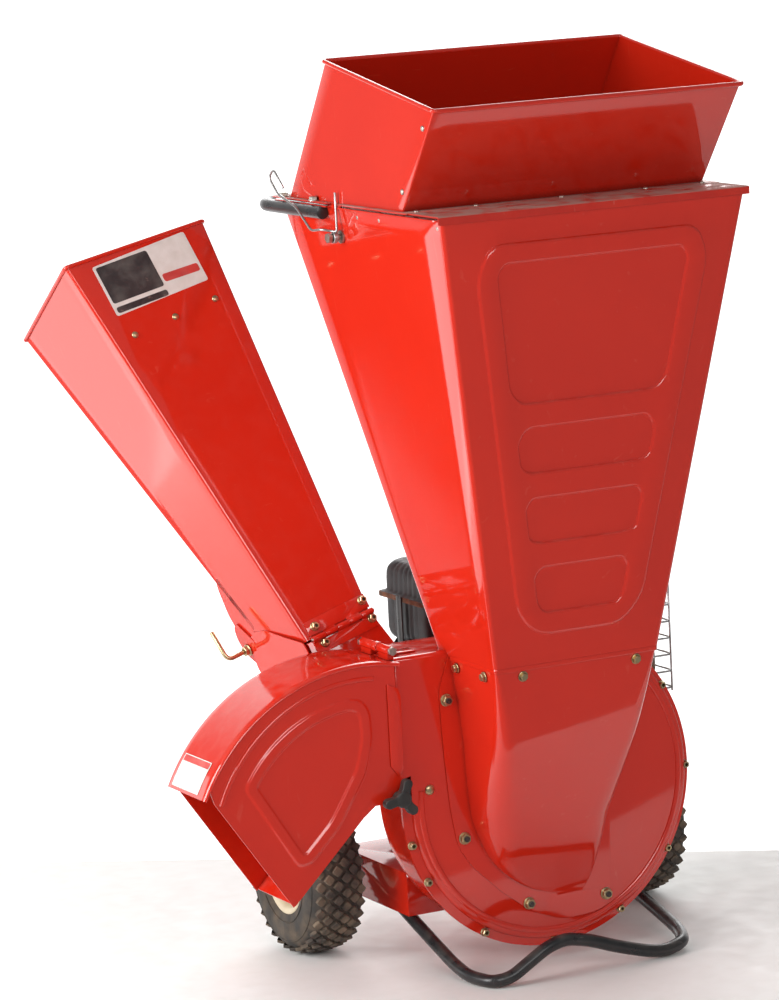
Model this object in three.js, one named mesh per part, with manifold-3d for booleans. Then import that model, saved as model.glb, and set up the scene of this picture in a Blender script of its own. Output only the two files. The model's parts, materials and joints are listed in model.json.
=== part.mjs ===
// Wheeled garden wood chipper: shredding hopper in front, folding chipper chute on the left,
// hinged discharge chute, petrol engine behind, two wheels and a bent-tube stand.
// Millimetres, +Z up, +Y from the hopper towards the engine, floor at Z = 0.
import * as THREE from 'three';
import { mergeVertices } from 'three/addons/utils/BufferGeometryUtils.js';
import { ConvexGeometry } from 'three/addons/geometries/ConvexGeometry.js';
import Module from 'manifold-3d';

const wasm = await Module();
wasm.setup();

// ---------------------------------------------------------------- driving dimensions
const SHEET = 2;                    // sheet-metal wall
const GAP = 0.3;                    // clearance between touching pieces

const HOPPER_LOW_Z = 462.6;
const HOPPER_LOW = { half: 128.8, front: -134.4, back: 26.3 };
const HOPPER_TOP_Z = 1099;
const HOPPER_TOP = { half: 234, front: -240.6, back: 237.5 };
const FLANGE_HALF = 244;
const FLANGE_BACK = 246;
const UPPER_BASE_Z = HOPPER_TOP_Z + GAP;
const UPPER_FRONT = { low: -131.9, high: -242.2, top: 1243.5 };
const UPPER_BACK = { low: 211.9, high: 74.9, top: 1297.9 };
const SHELF_FRONT = -245;
const SHELF_BACK = -160;

const CRANK_X = 20.5;
const CRANK_Z = 253.6;
const DISH_X = 25;                  // middle of the round impeller housing
const DISH_R = 222;
const HOUSING_BACK = 110;
const RIM_R = 232;
const NECK = { left: -200, low: 258, high: 469 };

const OUTLET_X = -275;              // centre of the discharge chute's curved band
const OUTLET_Z = 198;
const OUTLET_R = 275;
const OUTLET_BACK = 105;
const DEFLECTOR_X = -222;           // discharge chute pivot
const DEFLECTOR_Z = 482;
const KNOB_X = -228;
const KNOB_Z = 277;

const CHUTE_HINGE = [-233.8, 130, 497.3];
const CHUTE_LEAN = -22.8;           // degrees about X
const CHUTE_ROLL = -16.6;           // degrees about the leaned Y
const CHUTE_HALF = 56.5;
const CHUTE_DEPTH = 111;
const CHUTE_FLARE = Math.tan(THREE.MathUtils.degToRad(5.4));
const CHUTE_FLARE_BACK = Math.tan(THREE.MathUtils.degToRad(11.6));
const CHUTE_LENGTH = 627;
const LOCK_Y = 157.5;
const LOCK_Z = 36;

const FRAME = { left: -153, right: 221, front: 118, back: 330, low: 66, high: 129 };
const WHEEL_R = 119.5;
const WHEEL_Y = 264;
const WHEEL_OUTER = { left: -285, right: 340 };
const AXLE_R = 6.35;
const STAND_R = 9.3;
const HANDLE_R = 9.3;

// ---------------------------------------------------------------- colours
const RED = { color: 0xb81d12, roughness: 0.28, metalness: 0 };
const BLACK = { color: 0x16171a, roughness: 0.45, metalness: 0 };
const RUBBER = { color: 0x2a2825, roughness: 0.9, metalness: 0 };
const CREAM = { color: 0xcfc6ae, roughness: 0.5, metalness: 0 };
const ZINC = { color: 0xa8a08c, roughness: 0.35, metalness: 1 };
const STEEL = { color: 0x8d8f92, roughness: 0.35, metalness: 1 };
const CAST = { color: 0x77797b, roughness: 0.6, metalness: 0.8 };
const GREY = { color: 0x43454a, roughness: 0.55, metalness: 0 };
const PLASTIC = { color: 0x1b1c1e, roughness: 0.5, metalness: 0 };
const BRASSY = { color: 0xa98f55, roughness: 0.35, metalness: 1 };

// ---------------------------------------------------------------- shape helpers
function solid(geometry) {
  const bare = geometry.index ? geometry.toNonIndexed() : geometry.clone();
  bare.deleteAttribute('normal');
  bare.deleteAttribute('uv');
  const merged = mergeVertices(bare, 1e-4);
  const corners = new Uint32Array(merged.index.array);
  const vertProperties = merged.attributes.position.array;
  const made = new wasm.Manifold(new wasm.Mesh({ numProp: 3, vertProperties, triVerts: corners }));
  if (made.volume() >= 0) return made;
  for (let i = 0; i < corners.length; i += 3) {
    [corners[i], corners[i + 1]] = [corners[i + 1], corners[i]];
  }
  return new wasm.Manifold(new wasm.Mesh({ numProp: 3, vertProperties, triVerts: corners }));
}

function box(x0, x1, y0, y1, z0, z1) {
  const block = new THREE.BoxGeometry(x1 - x0, y1 - y0, z1 - z0);
  return solid(block.translate((x0 + x1) / 2, (y0 + y1) / 2, (z0 + z1) / 2));
}

function hull(points) {
  return solid(new ConvexGeometry(points.map((p) => new THREE.Vector3(...p))));
}

// A convex prism between two rectangles given as { half, front, back }.
function frustum(low, lowZ, high, highZ) {
  const ring = (r, z) => [
    [-r.half, r.front, z],
    [r.half, r.front, z],
    [r.half, r.back, z],
    [-r.half, r.back, z],
  ];
  return hull([...ring(low, lowZ), ...ring(high, highZ)]);
}

// Extrusion along Y of a flat outline of [x, z] pairs.
function prismY(outline, y0, y1) {
  const shape = new THREE.Shape(outline.map(([x, z]) => new THREE.Vector2(x, z)));
  const plate = new THREE.ExtrudeGeometry(shape, { depth: y1 - y0, bevelEnabled: false, steps: 1 });
  return solid(plate.rotateX(Math.PI / 2).translate(0, y1, 0));
}

function arc(cx, cz, r, from, to, steps) {
  const points = [];
  for (let i = 0; i <= steps; i += 1) {
    const a = THREE.MathUtils.degToRad(from + ((to - from) * i) / steps);
    points.push([cx + r * Math.cos(a), cz + r * Math.sin(a)]);
  }
  return points;
}

function disc(cx, cz, r, y0, y1, sides = 40) {
  const barrel = new THREE.CylinderGeometry(r, r, y1 - y0, sides);
  return solid(barrel.translate(cx, (y0 + y1) / 2, cz));
}

function rod(a, b, r, sides = 12) {
  const from = new THREE.Vector3(...a);
  const to = new THREE.Vector3(...b);
  const barrel = new THREE.CylinderGeometry(r, r, from.distanceTo(to), sides);
  const along = to.clone().sub(from).normalize();
  barrel.applyQuaternion(new THREE.Quaternion().setFromUnitVectors(new THREE.Vector3(0, 1, 0), along));
  const middle = from.add(to).multiplyScalar(0.5);
  return solid(barrel.translate(middle.x, middle.y, middle.z));
}

// Round bar bent along a list of points, each inner corner rounded by `bend`.
function bentBar(points, r, bend, steps, sides = 10) {
  const at = points.map((p) => new THREE.Vector3(...p));
  const path = new THREE.CurvePath();
  let last = at[0];
  for (let i = 1; i < at.length - 1; i += 1) {
    const before = at[i - 1].clone().sub(at[i]);
    const after = at[i + 1].clone().sub(at[i]);
    const cut = Math.min(bend, before.length() * 0.45, after.length() * 0.45);
    const enter = at[i].clone().add(before.setLength(cut));
    const leave = at[i].clone().add(after.setLength(cut));
    path.add(new THREE.LineCurve3(last, enter));
    path.add(new THREE.QuadraticBezierCurve3(enter, at[i], leave));
    last = leave;
  }
  path.add(new THREE.LineCurve3(last, at[at.length - 1]));
  const ring = [];
  for (let i = 0; i < sides; i += 1) {
    const a = (2 * Math.PI * i) / sides;
    ring.push(new THREE.Vector2(r * Math.cos(a), r * Math.sin(a)));
  }
  return solid(
    new THREE.ExtrudeGeometry(new THREE.Shape(ring), { steps, extrudePath: path, bevelEnabled: false }),
  );
}

// Ring or drum turned about X from a profile of [radius, height] pairs.
function turnedX(profile, cy, cz, sides) {
  const lathe = new THREE.LatheGeometry(profile.map(([r, h]) => new THREE.Vector2(r, h)), sides);
  return solid(lathe.rotateZ(-Math.PI / 2).translate(0, cy, cz));
}

function union(...parts) {
  return parts.reduce((sum, part) => sum.add(part));
}

const group = new THREE.Group();
group.name = 'wood_chipper';
function node(name, made, look) {
  const raw = made.getMesh();
  const geometry = new THREE.BufferGeometry();
  geometry.setAttribute('position', new THREE.BufferAttribute(new Float32Array(raw.vertProperties), 3));
  geometry.setIndex(new THREE.BufferAttribute(new Uint32Array(raw.triVerts), 1));
  const mesh = new THREE.Mesh(geometry, new THREE.MeshStandardMaterial({ ...look, name }));
  mesh.name = name;
  group.add(mesh);
}

// ---------------------------------------------------------------- hoppers
function hopperAt(z, inset) {
  const t = (z - HOPPER_LOW_Z) / (HOPPER_TOP_Z - HOPPER_LOW_Z);
  const mix = (key) => HOPPER_LOW[key] + (HOPPER_TOP[key] - HOPPER_LOW[key]) * t;
  return { half: mix('half') - inset, front: mix('front') + inset, back: mix('back') - inset };
}

const WIRE_NOTCH = [-260, -235.5, 44, 78];     // slot in both flanges for the wire latch
const wireNotch = box(...WIRE_NOTCH, HOPPER_TOP_Z - 8, HOPPER_TOP_Z + 8);
const hopperBore = frustum(hopperAt(430, SHEET), 430, hopperAt(1110, SHEET), 1110);
const skirtInset = SHEET + 1.9;
const skirt = frustum(hopperAt(438, skirtInset), 438, hopperAt(466, skirtInset), 466)
  .subtract(frustum(hopperAt(430, skirtInset + SHEET), 430, hopperAt(470, skirtInset + SHEET), 470))
  .subtract(box(-300, 300, -3, 60, 420, 466));
const hopperRim = box(
  -FLANGE_HALF, FLANGE_HALF, HOPPER_TOP.front, FLANGE_BACK, HOPPER_TOP_Z - SHEET, HOPPER_TOP_Z,
);
const hopperWalls = frustum(HOPPER_LOW, HOPPER_LOW_Z, HOPPER_TOP, HOPPER_TOP_Z)
  .add(hopperRim)
  .subtract(hopperBore);
const hopperBand = frustum(hopperAt(461, 1), 461, hopperAt(467, 1), 467)
  .subtract(frustum(hopperAt(460, skirtInset + SHEET), 460, hopperAt(468, skirtInset + SHEET), 468))
  .intersect(box(-300, 300, -200, -3, HOPPER_LOW_Z, 466));
const hopperFloor = box(-127, 127, -1, 31, HOPPER_LOW_Z + GAP, HOPPER_LOW_Z + GAP + SHEET);
node('lower_hopper', union(hopperWalls, skirt, hopperBand, hopperFloor).subtract(wireNotch), RED);

const upperOuter = hull([-1, 1].flatMap((s) => [
  [s * 234.1, UPPER_FRONT.low, UPPER_BASE_Z],
  [s * 234.1, UPPER_BACK.low, UPPER_BASE_Z],
  [s * 236.4, UPPER_FRONT.high, UPPER_FRONT.top],
  [s * 234.4, UPPER_BACK.high, UPPER_BACK.top],
]));
const upperInner = hull([-1, 1].flatMap((s) => [
  [s * 232, UPPER_FRONT.low + 7.6, UPPER_BASE_Z - 6],
  [s * 232, UPPER_BACK.low + 1.6, UPPER_BASE_Z - 6],
  [s * 234.4, UPPER_FRONT.high - 15, UPPER_FRONT.top + 23],
  [s * 232.4, UPPER_BACK.high - 17, UPPER_BACK.top + 20],
]));
const upperFlange = box(
  -FLANGE_HALF, FLANGE_HALF, SHELF_BACK + GAP, FLANGE_BACK, UPPER_BASE_Z, UPPER_BASE_Z + SHEET,
);
const HEM_R = 3.4;
const hems = [-1, 1].map((s) => rod(
  [s * 238.4, UPPER_FRONT.high + 3, UPPER_FRONT.top - 1.5],
  [s * 236.4, UPPER_BACK.high - 3, UPPER_BACK.top - 3],
  HEM_R, 8,
));
const crossHem = (x, y, z) => rod([-x, y, z], [x, y, z], HEM_R, 8);
hems.push(crossHem(231, UPPER_FRONT.high - 1.8, UPPER_FRONT.top - 3));
hems.push(crossHem(229, UPPER_BACK.high + 2.6, UPPER_BACK.top - 3));
const upperSolid = union(upperOuter, upperFlange, ...hems);
node('upper_hopper', upperSolid.subtract(upperInner).subtract(wireNotch), RED);

node('hopper_shelf', union(
  box(-240, 240, SHELF_FRONT, SHELF_BACK, UPPER_BASE_Z, UPPER_BASE_Z + SHEET),
  box(-240, 240, SHELF_FRONT, SHELF_FRONT + SHEET, UPPER_BASE_Z - 9, UPPER_BASE_Z + SHEET),
), RED);

// ---------------------------------------------------------------- pull handle and wire latch
const HANDLE_Z = 1087;
const HANDLE_X = 242.2;
const handlePath = [[-1, 92], [-1, 300], [1, 300], [1, 92]].map(([s, y]) => [s * HANDLE_X, y, HANDLE_Z]);
const handleEnds = [-HANDLE_X, HANDLE_X].map(
  (x) => rod([x, 80, HANDLE_Z], [x, 130, HANDLE_Z], HANDLE_R - 1.8, 12),
);
node('pull_handle', bentBar(handlePath, HANDLE_R, 42, 30, 10).subtract(union(...handleEnds)), BLACK);

const LATCH_Y = 64;
const LATCH_Z = 1054;
node('latch_bolt', union(
  rod([-228.8, LATCH_Y, LATCH_Z], [-250, LATCH_Y, LATCH_Z], 4, 12),
  rod([-228.8, LATCH_Y, LATCH_Z], [-232, LATCH_Y, LATCH_Z], 9, 16),
  rod([-247, LATCH_Y, LATCH_Z], [-253, LATCH_Y, LATCH_Z], 7.4, 6),
), STEEL);
const latchLegs = bentBar([
  [-239, 58, 1116],
  [-239, 57.5, 1062],
  [-243, 66, 1063],
  [-255.4, 74, 1066],
  [-255.6, 104, 1062],
  [-255.6, 150, 1093],
  [-255.6, 203, 1107],
  [-255.6, 230, 1129],
  [-255.6, 214, 1142],
  [-255.6, 186, 1117],
], 1.6, 9, 36, 6);
const latchCoil = rod([-237, LATCH_Y, LATCH_Z], [-243.5, LATCH_Y, LATCH_Z], 8, 16)
  .subtract(rod([-230, LATCH_Y, LATCH_Z], [-250, LATCH_Y, LATCH_Z], 4.4, 12));
const coilRoom = rod([-230, LATCH_Y, LATCH_Z], [-250, LATCH_Y, LATCH_Z], 6, 12);
node('wire_latch', latchLegs.subtract(coilRoom).add(latchCoil), STEEL);

// ---------------------------------------------------------------- front cover under the hopper
const COVER_STEPS = [                // height, left edge, right edge, front face
  [462.2, -128.8, 128.8, -134.4],
  [400, -121.5, 117, -124],
  [340, -115, 111, -109],
  [280, -112.5, 101, -86],
  [225, -107, 88, -64],
  [175, -88, 79, -40],
  [140, -62, 75, -21],
  [112, -22, 72, -7],
  [96, 30, 66, -3],
];
function coverBlock(inset, back) {
  const blocks = [];
  for (let i = 0; i + 1 < COVER_STEPS.length; i += 1) {
    const corners = [COVER_STEPS[i], COVER_STEPS[i + 1]].flatMap(([z, left, right, front], k) => {
      const height = i === 0 && k === 0 && inset > 0 ? z + 5 : z;
      return [
        [left + inset, Math.min(front + inset, -0.5), height],
        [right - inset, Math.min(front + inset, -0.5), height],
        [right - inset, back, height],
        [left + inset, back, height],
      ];
    });
    blocks.push(hull(corners));
  }
  return union(...blocks);
}
const coverFlange = prismY([
  [-131, 460], [-149, 416], [-146, 331], [-140, 246], [-131, 190], [-110, 156], [-64, 112], [-17, 76],
  [28, 58], [71, 58], [111, 69], [114, 166], [125, 300], [131, 460],
], -2.3, -GAP);
const coverInner = coverBlock(SHEET, 8).subtract(box(-200, 200, -200, 20, 80, 118));
node('front_cover', coverBlock(0, -GAP).add(coverFlange).subtract(coverInner), RED);

// ---------------------------------------------------------------- impeller housing
const dishOutline = (r, edge) => [
  disc(DISH_X, CRANK_Z, r, 0, 1, 56),
  box(NECK.left - 20 * edge, 0, 0, 1, NECK.low + SHEET * edge, NECK.high - SHEET * edge),
].reduce((a, b) => a.add(b));
function dish(inset, y0, y1) {
  const flat = dishOutline(DISH_R - inset * SHEET, inset);
  return flat.scale([1, y1 - y0, 1]).translate([0, y0, 0]);
}
const overHousing = box(-131, 131, -60, 31.5, HOPPER_LOW_Z - 0.8, 520);
const neckInside = box(-240, 0, -1, 130, NECK.low + SHEET, NECK.high - SHEET);
const rimCut = union(
  overHousing,
  neckInside,
  box(-240, 131, 0, 20, NECK.high - 32, 520),
  box(-240, -120, 0, 20, NECK.low, 520),
);
function rim(y0, y1) {
  return disc(CRANK_X, CRANK_Z, RIM_R, y0, y1, 56)
    .subtract(disc(DISH_X, CRANK_Z, DISH_R - SHEET, y0 - 1, y1 + 1, 56))
    .subtract(rimCut);
}
const knobEar = prismY([
  [-198, 262], [-240, 262], [-244, 270], [-244, 286], [-236, 294], [-198, 300],
], 0, SHEET);
const knobSlot = union(
  disc(KNOB_X, KNOB_Z, 4.6, -1, 4, 16),
  prismY([
    [KNOB_X, KNOB_Z - 4.6], [-260, KNOB_Z - 4.6], [-260, KNOB_Z + 9], [KNOB_X, KNOB_Z + 4.6],
  ], -1, 4),
);
const feed = prismY([[-104, 462], [-98, 300], [-60, 215], [60, 215], [84, 300], [104, 462]], -1, 4);
const front = dish(0, 0, SHEET)
  .add(dish(0, 0, 8).subtract(dish(1, -1, 9)))
  .add(rim(6, 8))
  .add(knobEar)
  .subtract(feed)
  .subtract(overHousing)
  .subtract(knobSlot);
node('housing_front', front, RED);

const CHUTE_PORT = { left: -205, right: -126, low: 290, high: 425 };
const chutePort = box(
  CHUTE_PORT.left + 3, CHUTE_PORT.right - 3, 100, 120, CHUTE_PORT.low + 3, CHUTE_PORT.high - 3,
);
const back = dish(0, 8 + GAP, HOUSING_BACK)
  .subtract(dish(1, 0, HOUSING_BACK - SHEET))
  .add(rim(8 + GAP, 10 + GAP))
  .subtract(overHousing)
  .subtract(disc(CRANK_X, CRANK_Z, 16, 100, 120, 24))
  .subtract(chutePort);
node('housing_rear', back, RED);

// ---------------------------------------------------------------- discharge chute
const bandArc = (r, from, to, steps) => arc(OUTLET_X, OUTLET_Z, r, from, to, steps);
const sideLower = [[-506, 308], [-396, 146], [-282, 255], [-262, 270], [-214, 270]];
const bandOutline = [...bandArc(OUTLET_R, 77, 154.6, 18), ...bandArc(OUTLET_R - SHEET, 154.6, 77, 18)];
const band = prismY(bandOutline, -16, OUTLET_BACK);
const backOutline = [...bandArc(OUTLET_R - 1, 77, 152, 18), ...sideLower, [-214, 300]];
const backPanel = prismY(backOutline, OUTLET_BACK - SHEET, OUTLET_BACK);
const floorStrip = prismY([
  [-396, 146], [-282, 255], [-262, 270], [-214, 270],
  [-214, 272], [-262.8, 272], [-283.2, 256.8], [-394.6, 150],
], -12.7, OUTLET_BACK);
const earNotch = box(-250, -205, -3, 5, 262, 300);
node('discharge_shell', union(band, backPanel, floorStrip).subtract(earNotch), RED);
const panelHole = disc(KNOB_X, KNOB_Z, 4.6, -20, 4, 16);
const panelArc = bandArc(OUTLET_R - SHEET - GAP, 79, 151, 18);
const panel = prismY([...panelArc, ...sideLower, [-220, 312], [-226, 330]], -15, -13);
node('discharge_panel', panel.subtract(panelHole), RED);

function knuckle(y0, y1) {
  return union(
    disc(DEFLECTOR_X, DEFLECTOR_Z, 7, y0, y1, 6),
    box(DEFLECTOR_X - 5, DEFLECTOR_X + 5, y0 + 3, y1 - 3, 468.6, DEFLECTOR_Z),
  ).subtract(disc(DEFLECTOR_X, DEFLECTOR_Z, 3.6, y0 - 1, y1 + 1, 16));
}
const clearBand = disc(OUTLET_X, OUTLET_Z, OUTLET_R + GAP, -30, 130, 96);
node('knuckle_front', knuckle(-6, 28).subtract(clearBand), RED);
node('knuckle_rear', knuckle(45, 80).subtract(clearBand), RED);
const strapBody = union(
  disc(DEFLECTOR_X, DEFLECTOR_Z, 7.6, 29, 44, 14),
  hull([29, 44].flatMap((y) => [
    [DEFLECTOR_X, y, DEFLECTOR_Z + 7], [DEFLECTOR_X + 3, y, DEFLECTOR_Z - 5],
    [-198, y, NECK.high + GAP], [-198, y, NECK.high + 5],
  ])),
  box(-199, -168, 24, 49, NECK.high + GAP, NECK.high + GAP + 2.6),
);
node('hinge_strap', strapBody.subtract(disc(DEFLECTOR_X, DEFLECTOR_Z, 3.6, 20, 60, 16)), RED);
node('hinge_bolt', union(
  disc(DEFLECTOR_X, DEFLECTOR_Z, 3.3, -8, 84, 14),
  disc(DEFLECTOR_X, DEFLECTOR_Z, 6.4, -12, -6.6, 6),
  disc(DEFLECTOR_X, DEFLECTOR_Z, 6.4, 80.6, 86, 6),
), ZINC);

function starLobe(angle) {
  const a = THREE.MathUtils.degToRad(angle);
  const tip = [KNOB_X + 23 * Math.cos(a), KNOB_Z + 23 * Math.sin(a)];
  return hull([-36, -23].flatMap((y) => [
    ...arc(KNOB_X, KNOB_Z, 10, 0, 330, 11).map(([x, z]) => [x, y, z]),
    ...arc(tip[0], tip[1], 6.4, 0, 324, 9).map(([x, z]) => [x, y, z]),
  ]));
}
node('star_knob', union(
  starLobe(70), starLobe(190), starLobe(310),
  disc(KNOB_X, KNOB_Z, 9, -26, -15.5, 20),
  disc(KNOB_X, KNOB_Z, 3.9, -18, 10, 14),
), PLASTIC);

// ---------------------------------------------------------------- chipper chute
const chuteTurn = new THREE.Euler(
  THREE.MathUtils.degToRad(CHUTE_LEAN), THREE.MathUtils.degToRad(CHUTE_ROLL), 0, 'XYZ',
);
const chuteFrame = new THREE.Matrix4().makeRotationFromEuler(chuteTurn).setPosition(...CHUTE_HINGE);
const inChuteFrame = (made) => made.transform(chuteFrame.elements);
const chuteWorld = (p) => new THREE.Vector3(...p).applyMatrix4(chuteFrame).toArray();

function chuteAt(z, inset) {
  return {
    half: CHUTE_HALF + z * CHUTE_FLARE - inset,
    front: inset,
    back: CHUTE_DEPTH + z * CHUTE_FLARE_BACK - inset,
  };
}
const mouthCut = [0.076, 0.159, 1];
const mouthShift = 0.076 * -115.8 + CHUTE_LENGTH;
const chuteOuter = frustum(chuteAt(2, 0), 2, chuteAt(700, 0), 700);
const chuteInner = frustum(chuteAt(-20, SHEET), -20, chuteAt(760, SHEET), 760);
const mouthLength = Math.hypot(...mouthCut);
function mouthCorner(side, atBack, drop) {
  let z = CHUTE_LENGTH;
  let x = 0;
  let y = 0;
  for (let i = 0; i < 6; i += 1) {
    x = side * chuteAt(z, 0).half;
    y = atBack ? chuteAt(z, 0).back : 0;
    z = mouthShift - mouthCut[0] * x - mouthCut[1] * y - drop;
  }
  return [x, y, z];
}
const [lipFL, lipBL] = [false, true].map((atBack) => mouthCorner(-1, atBack, 4));
const [lipFR, lipBR] = [false, true].map((atBack) => mouthCorner(1, atBack, 4));
const pull = (a, b, d) => a.map((v, i) => v + ((b[i] - v) * d) / Math.hypot(...a.map((w, j) => b[j] - w)));
const out = (p, dx, dy) => [p[0] + dx, p[1] + dy, p[2]];
const lips = [
  [out(lipFL, 0, -1.6), out(lipFR, 0, -1.6)],
  [out(lipFL, -1.6, 0), out(lipBL, -1.6, 0)],
  [out(lipFR, 1.6, 0), out(lipBR, 1.6, 0)],
  [out(lipBL, 0, 1.6), out(lipBR, 0, 1.6)],
].map(([a, b]) => rod(pull(a, b, 5), pull(b, a, 5), 3, 8));
const leftWall = (z) => -(CHUTE_HALF + z * CHUTE_FLARE);
const sidePlate = (outline, offset, thick) => hull(outline.flatMap(([y, z]) => [
  [leftWall(z) + offset, y, z],
  [leftWall(z) + offset + thick, y, z],
]));
const chuteEar = sidePlate([
  [110, 60], [128, 150], [142, 135], [160, 92], [162, 64], [150, 50], [126, 50],
], 0, SHEET);
const upperChute = chuteOuter
  .trimByPlane(mouthCut.map((v) => -v), -mouthShift / mouthLength)
  .add(union(...lips))
  .add(chuteEar)
  .subtract(chuteInner);
node('upper_chute', inChuteFrame(upperChute), RED);

const flapZ = 480;
node('chute_flap', inChuteFrame(hull([
  [-84, SHEET + GAP, flapZ], [84, SHEET + GAP, flapZ], [-84, SHEET + 3, flapZ], [84, SHEET + 3, flapZ],
  [-70, 110, flapZ - 108], [70, 110, flapZ - 108], [-70, 113, flapZ - 106], [70, 113, flapZ - 106],
])), RUBBER);

const chuteTop = [[-CHUTE_HALF, 0], [CHUTE_HALF, 0], [CHUTE_HALF, CHUTE_DEPTH], [-CHUTE_HALF, CHUTE_DEPTH]];
function throat(inset, over) {
  const top = chuteTop.map(([x, y]) => chuteWorld([
    x - Math.sign(x) * inset, y + (y > 0 ? -inset : inset), -1 + over,
  ]));
  const y = HOUSING_BACK + GAP - over;
  const low = CHUTE_PORT.low + inset;
  const high = CHUTE_PORT.high - inset;
  const port = [
    [CHUTE_PORT.left + inset, y, high], [CHUTE_PORT.right - inset, y, high],
    [CHUTE_PORT.right - inset, y, low], [CHUTE_PORT.left + inset, y, low],
  ];
  return hull([...top, ...port]);
}
const lockHole = rod([-80, LOCK_Y, LOCK_Z], [-50, LOCK_Y, LOCK_Z], 4.2, 16);
const lockBracket = sidePlate([
  [104, -26], [104, 0], [122, 24], [150, 78], [163, 72], [172, 56], [173, 34], [162, 14], [142, 0],
  [112, -26],
], -2.8, 2.4).subtract(lockHole);
const footOutline = [[86, -34], [86, -5], [108, -5], [104, -34]];
const bracketFoot = hull([-2.8, 7].flatMap((dx) => footOutline.map(([y, z]) => [-CHUTE_HALF + dx, y, z])));
const lowerChute = throat(0, 0)
  .subtract(throat(SHEET, 3))
  .add(inChuteFrame(lockBracket.add(bracketFoot)).subtract(throat(SHEET, 3)));
node('lower_chute', lowerChute, RED);

const hingeAxisY = -4.6;
const barrelGap = rod([-60, hingeAxisY, 0], [70, hingeAxisY, 0], 2.6, 12);
const knuckles = (list) => union(...list.map(
  ([a, b]) => rod([a, hingeAxisY, 0], [b, hingeAxisY, 0], 4.2, 10),
));
const leafCurl = (up) => hull([-48, 58].flatMap((x) => [
  [x, -4.4, 3 * up], [x, -GAP - 0.2, 4.5 * up], [x, -2.3, 6 * up], [x, -6, 3.2 * up],
]));
const leafGaps = (list) => union(...list.map(([a, b]) => box(a, b, -10, 0, -6.2, 6.2)));
const upperLeaf = box(-48, 58, -2.3, -GAP, 4, 27)
  .add(leafCurl(1))
  .subtract(leafGaps([[-48.1, -26.8], [-5.4, 15.4], [37.2, 58.1]]))
  .add(knuckles([[-26.5, -5.7], [15.7, 36.9]]));
const lowerLeaf = box(-48, 58, -2.3, -GAP, -23, -4)
  .add(leafCurl(-1))
  .subtract(leafGaps([[-26.8, -5.4], [15.4, 37.2]]))
  .add(knuckles([[-48, -27.1], [-5.1, 15.1], [37.5, 58]]));
node('leaf_upper', inChuteFrame(upperLeaf.subtract(barrelGap)), RED);
const leafClear = throat(-GAP, 0);
node('leaf_lower', inChuteFrame(lowerLeaf.subtract(barrelGap)).subtract(leafClear), RED);
node('chute_hinge_pin', inChuteFrame(rod([-50, hingeAxisY, 0], [60, hingeAxisY, 0], 2.3, 12)), ZINC);

const nutX = leftWall(LOCK_Z) - 4;
node('lock_nut', inChuteFrame(union(
  rod([nutX, LOCK_Y, LOCK_Z], [nutX - 2, LOCK_Y, LOCK_Z], 8.6, 16),
  rod([nutX - 2, LOCK_Y, LOCK_Z], [nutX - 8, LOCK_Y, LOCK_Z], 6.6, 6),
).subtract(rod([nutX + 5, LOCK_Y, LOCK_Z], [nutX - 15, LOCK_Y, LOCK_Z], 3.5, 16))), BRASSY);
node('lock_pin', inChuteFrame(bentBar([
  [-48, LOCK_Y, LOCK_Z], [-101, LOCK_Y, LOCK_Z], [-101, LOCK_Y + 4, LOCK_Z + 46],
], 3.2, 9, 18, 10)), BRASSY);

// ---------------------------------------------------------------- frame, stand, axle, wheels
const frameRoom = box(
  FRAME.left + SHEET, FRAME.right - SHEET, FRAME.front + SHEET, FRAME.back + 5, 0, FRAME.high - SHEET,
);
const frameShell = box(FRAME.left, FRAME.right, FRAME.front, FRAME.back, FRAME.low, FRAME.high)
  .subtract(frameRoom);
const axleHole = rod([-200, WHEEL_Y, WHEEL_R], [260, WHEEL_Y, WHEEL_R], AXLE_R + GAP, 20);
const relief = solid(new THREE.SphereGeometry(6, 12, 8).translate(FRAME.left, FRAME.front, FRAME.high - 1));
const plateHole = rod([-101, 232, 100], [-101, 232, 140], 9, 20);
node('engine_frame', frameShell.subtract(union(axleHole, plateHole)).subtract(relief), RED);

const LEG = { left: -141, right: 209 };
node('stand', bentBar([
  [LEG.left, 215, 88], [LEG.left, 118, 54], [LEG.left, 6, 17], [LEG.left - 1, -40, STAND_R + 0.4],
  [-128, -84, STAND_R + 0.2], [-102, -88, 13], [-70, -88, 31], [-44, -88, 46], [-14, -88, 53.5],
  [24, -88, 46],
  [71, -88, 28], [122, -88, 13], [150, -87, STAND_R], [186, -76, 14], [204, -36, 18], [LEG.right, 8, 26],
  [LEG.right, 118, 54], [LEG.right, 215, 88],
], STAND_R, 24, 56, 9), BLACK);

const axleEnds = [WHEEL_OUTER.left + 1, WHEEL_OUTER.right - 1].map((x) => [x, WHEEL_Y, WHEEL_R]);
node('axle', rod(...axleEnds, AXLE_R, 20), STEEL);

const TYRE_PROFILE = [                // radius, distance from the outer face
  [53, 12], [66, 6], [84, 0.5], [99, 3], [111, 11], [117, 25], [WHEEL_R, 44], [117, 63],
  [111, 77], [99, 85], [84, 87.5], [66, 82], [53, 76], [53, 68], [84, 79],
  [106, 66], [108, 44], [106, 22], [84, 9], [53, 20], [53, 12],
];
const RIM_PROFILE = [
  [AXLE_R + GAP, 6], [16, 6], [16, 30], [46, 34], [48, 10.5], [57, 5.8], [58, 8.4],
  [52.4, 11.6], [50, 22], [50, 66], [52.4, 76.4], [58, 79.6], [57, 82.2], [48, 77.5],
  [46, 38], [16, 36], [16, 82], [AXLE_R + GAP, 82], [AXLE_R + GAP, 6],
];
const CAP_PROFILE = [
  [AXLE_R + GAP, 0], [11, 0], [13, 1.5], [13, 5.5], [AXLE_R + GAP, 5.5], [AXLE_R + GAP, 0],
];
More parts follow.
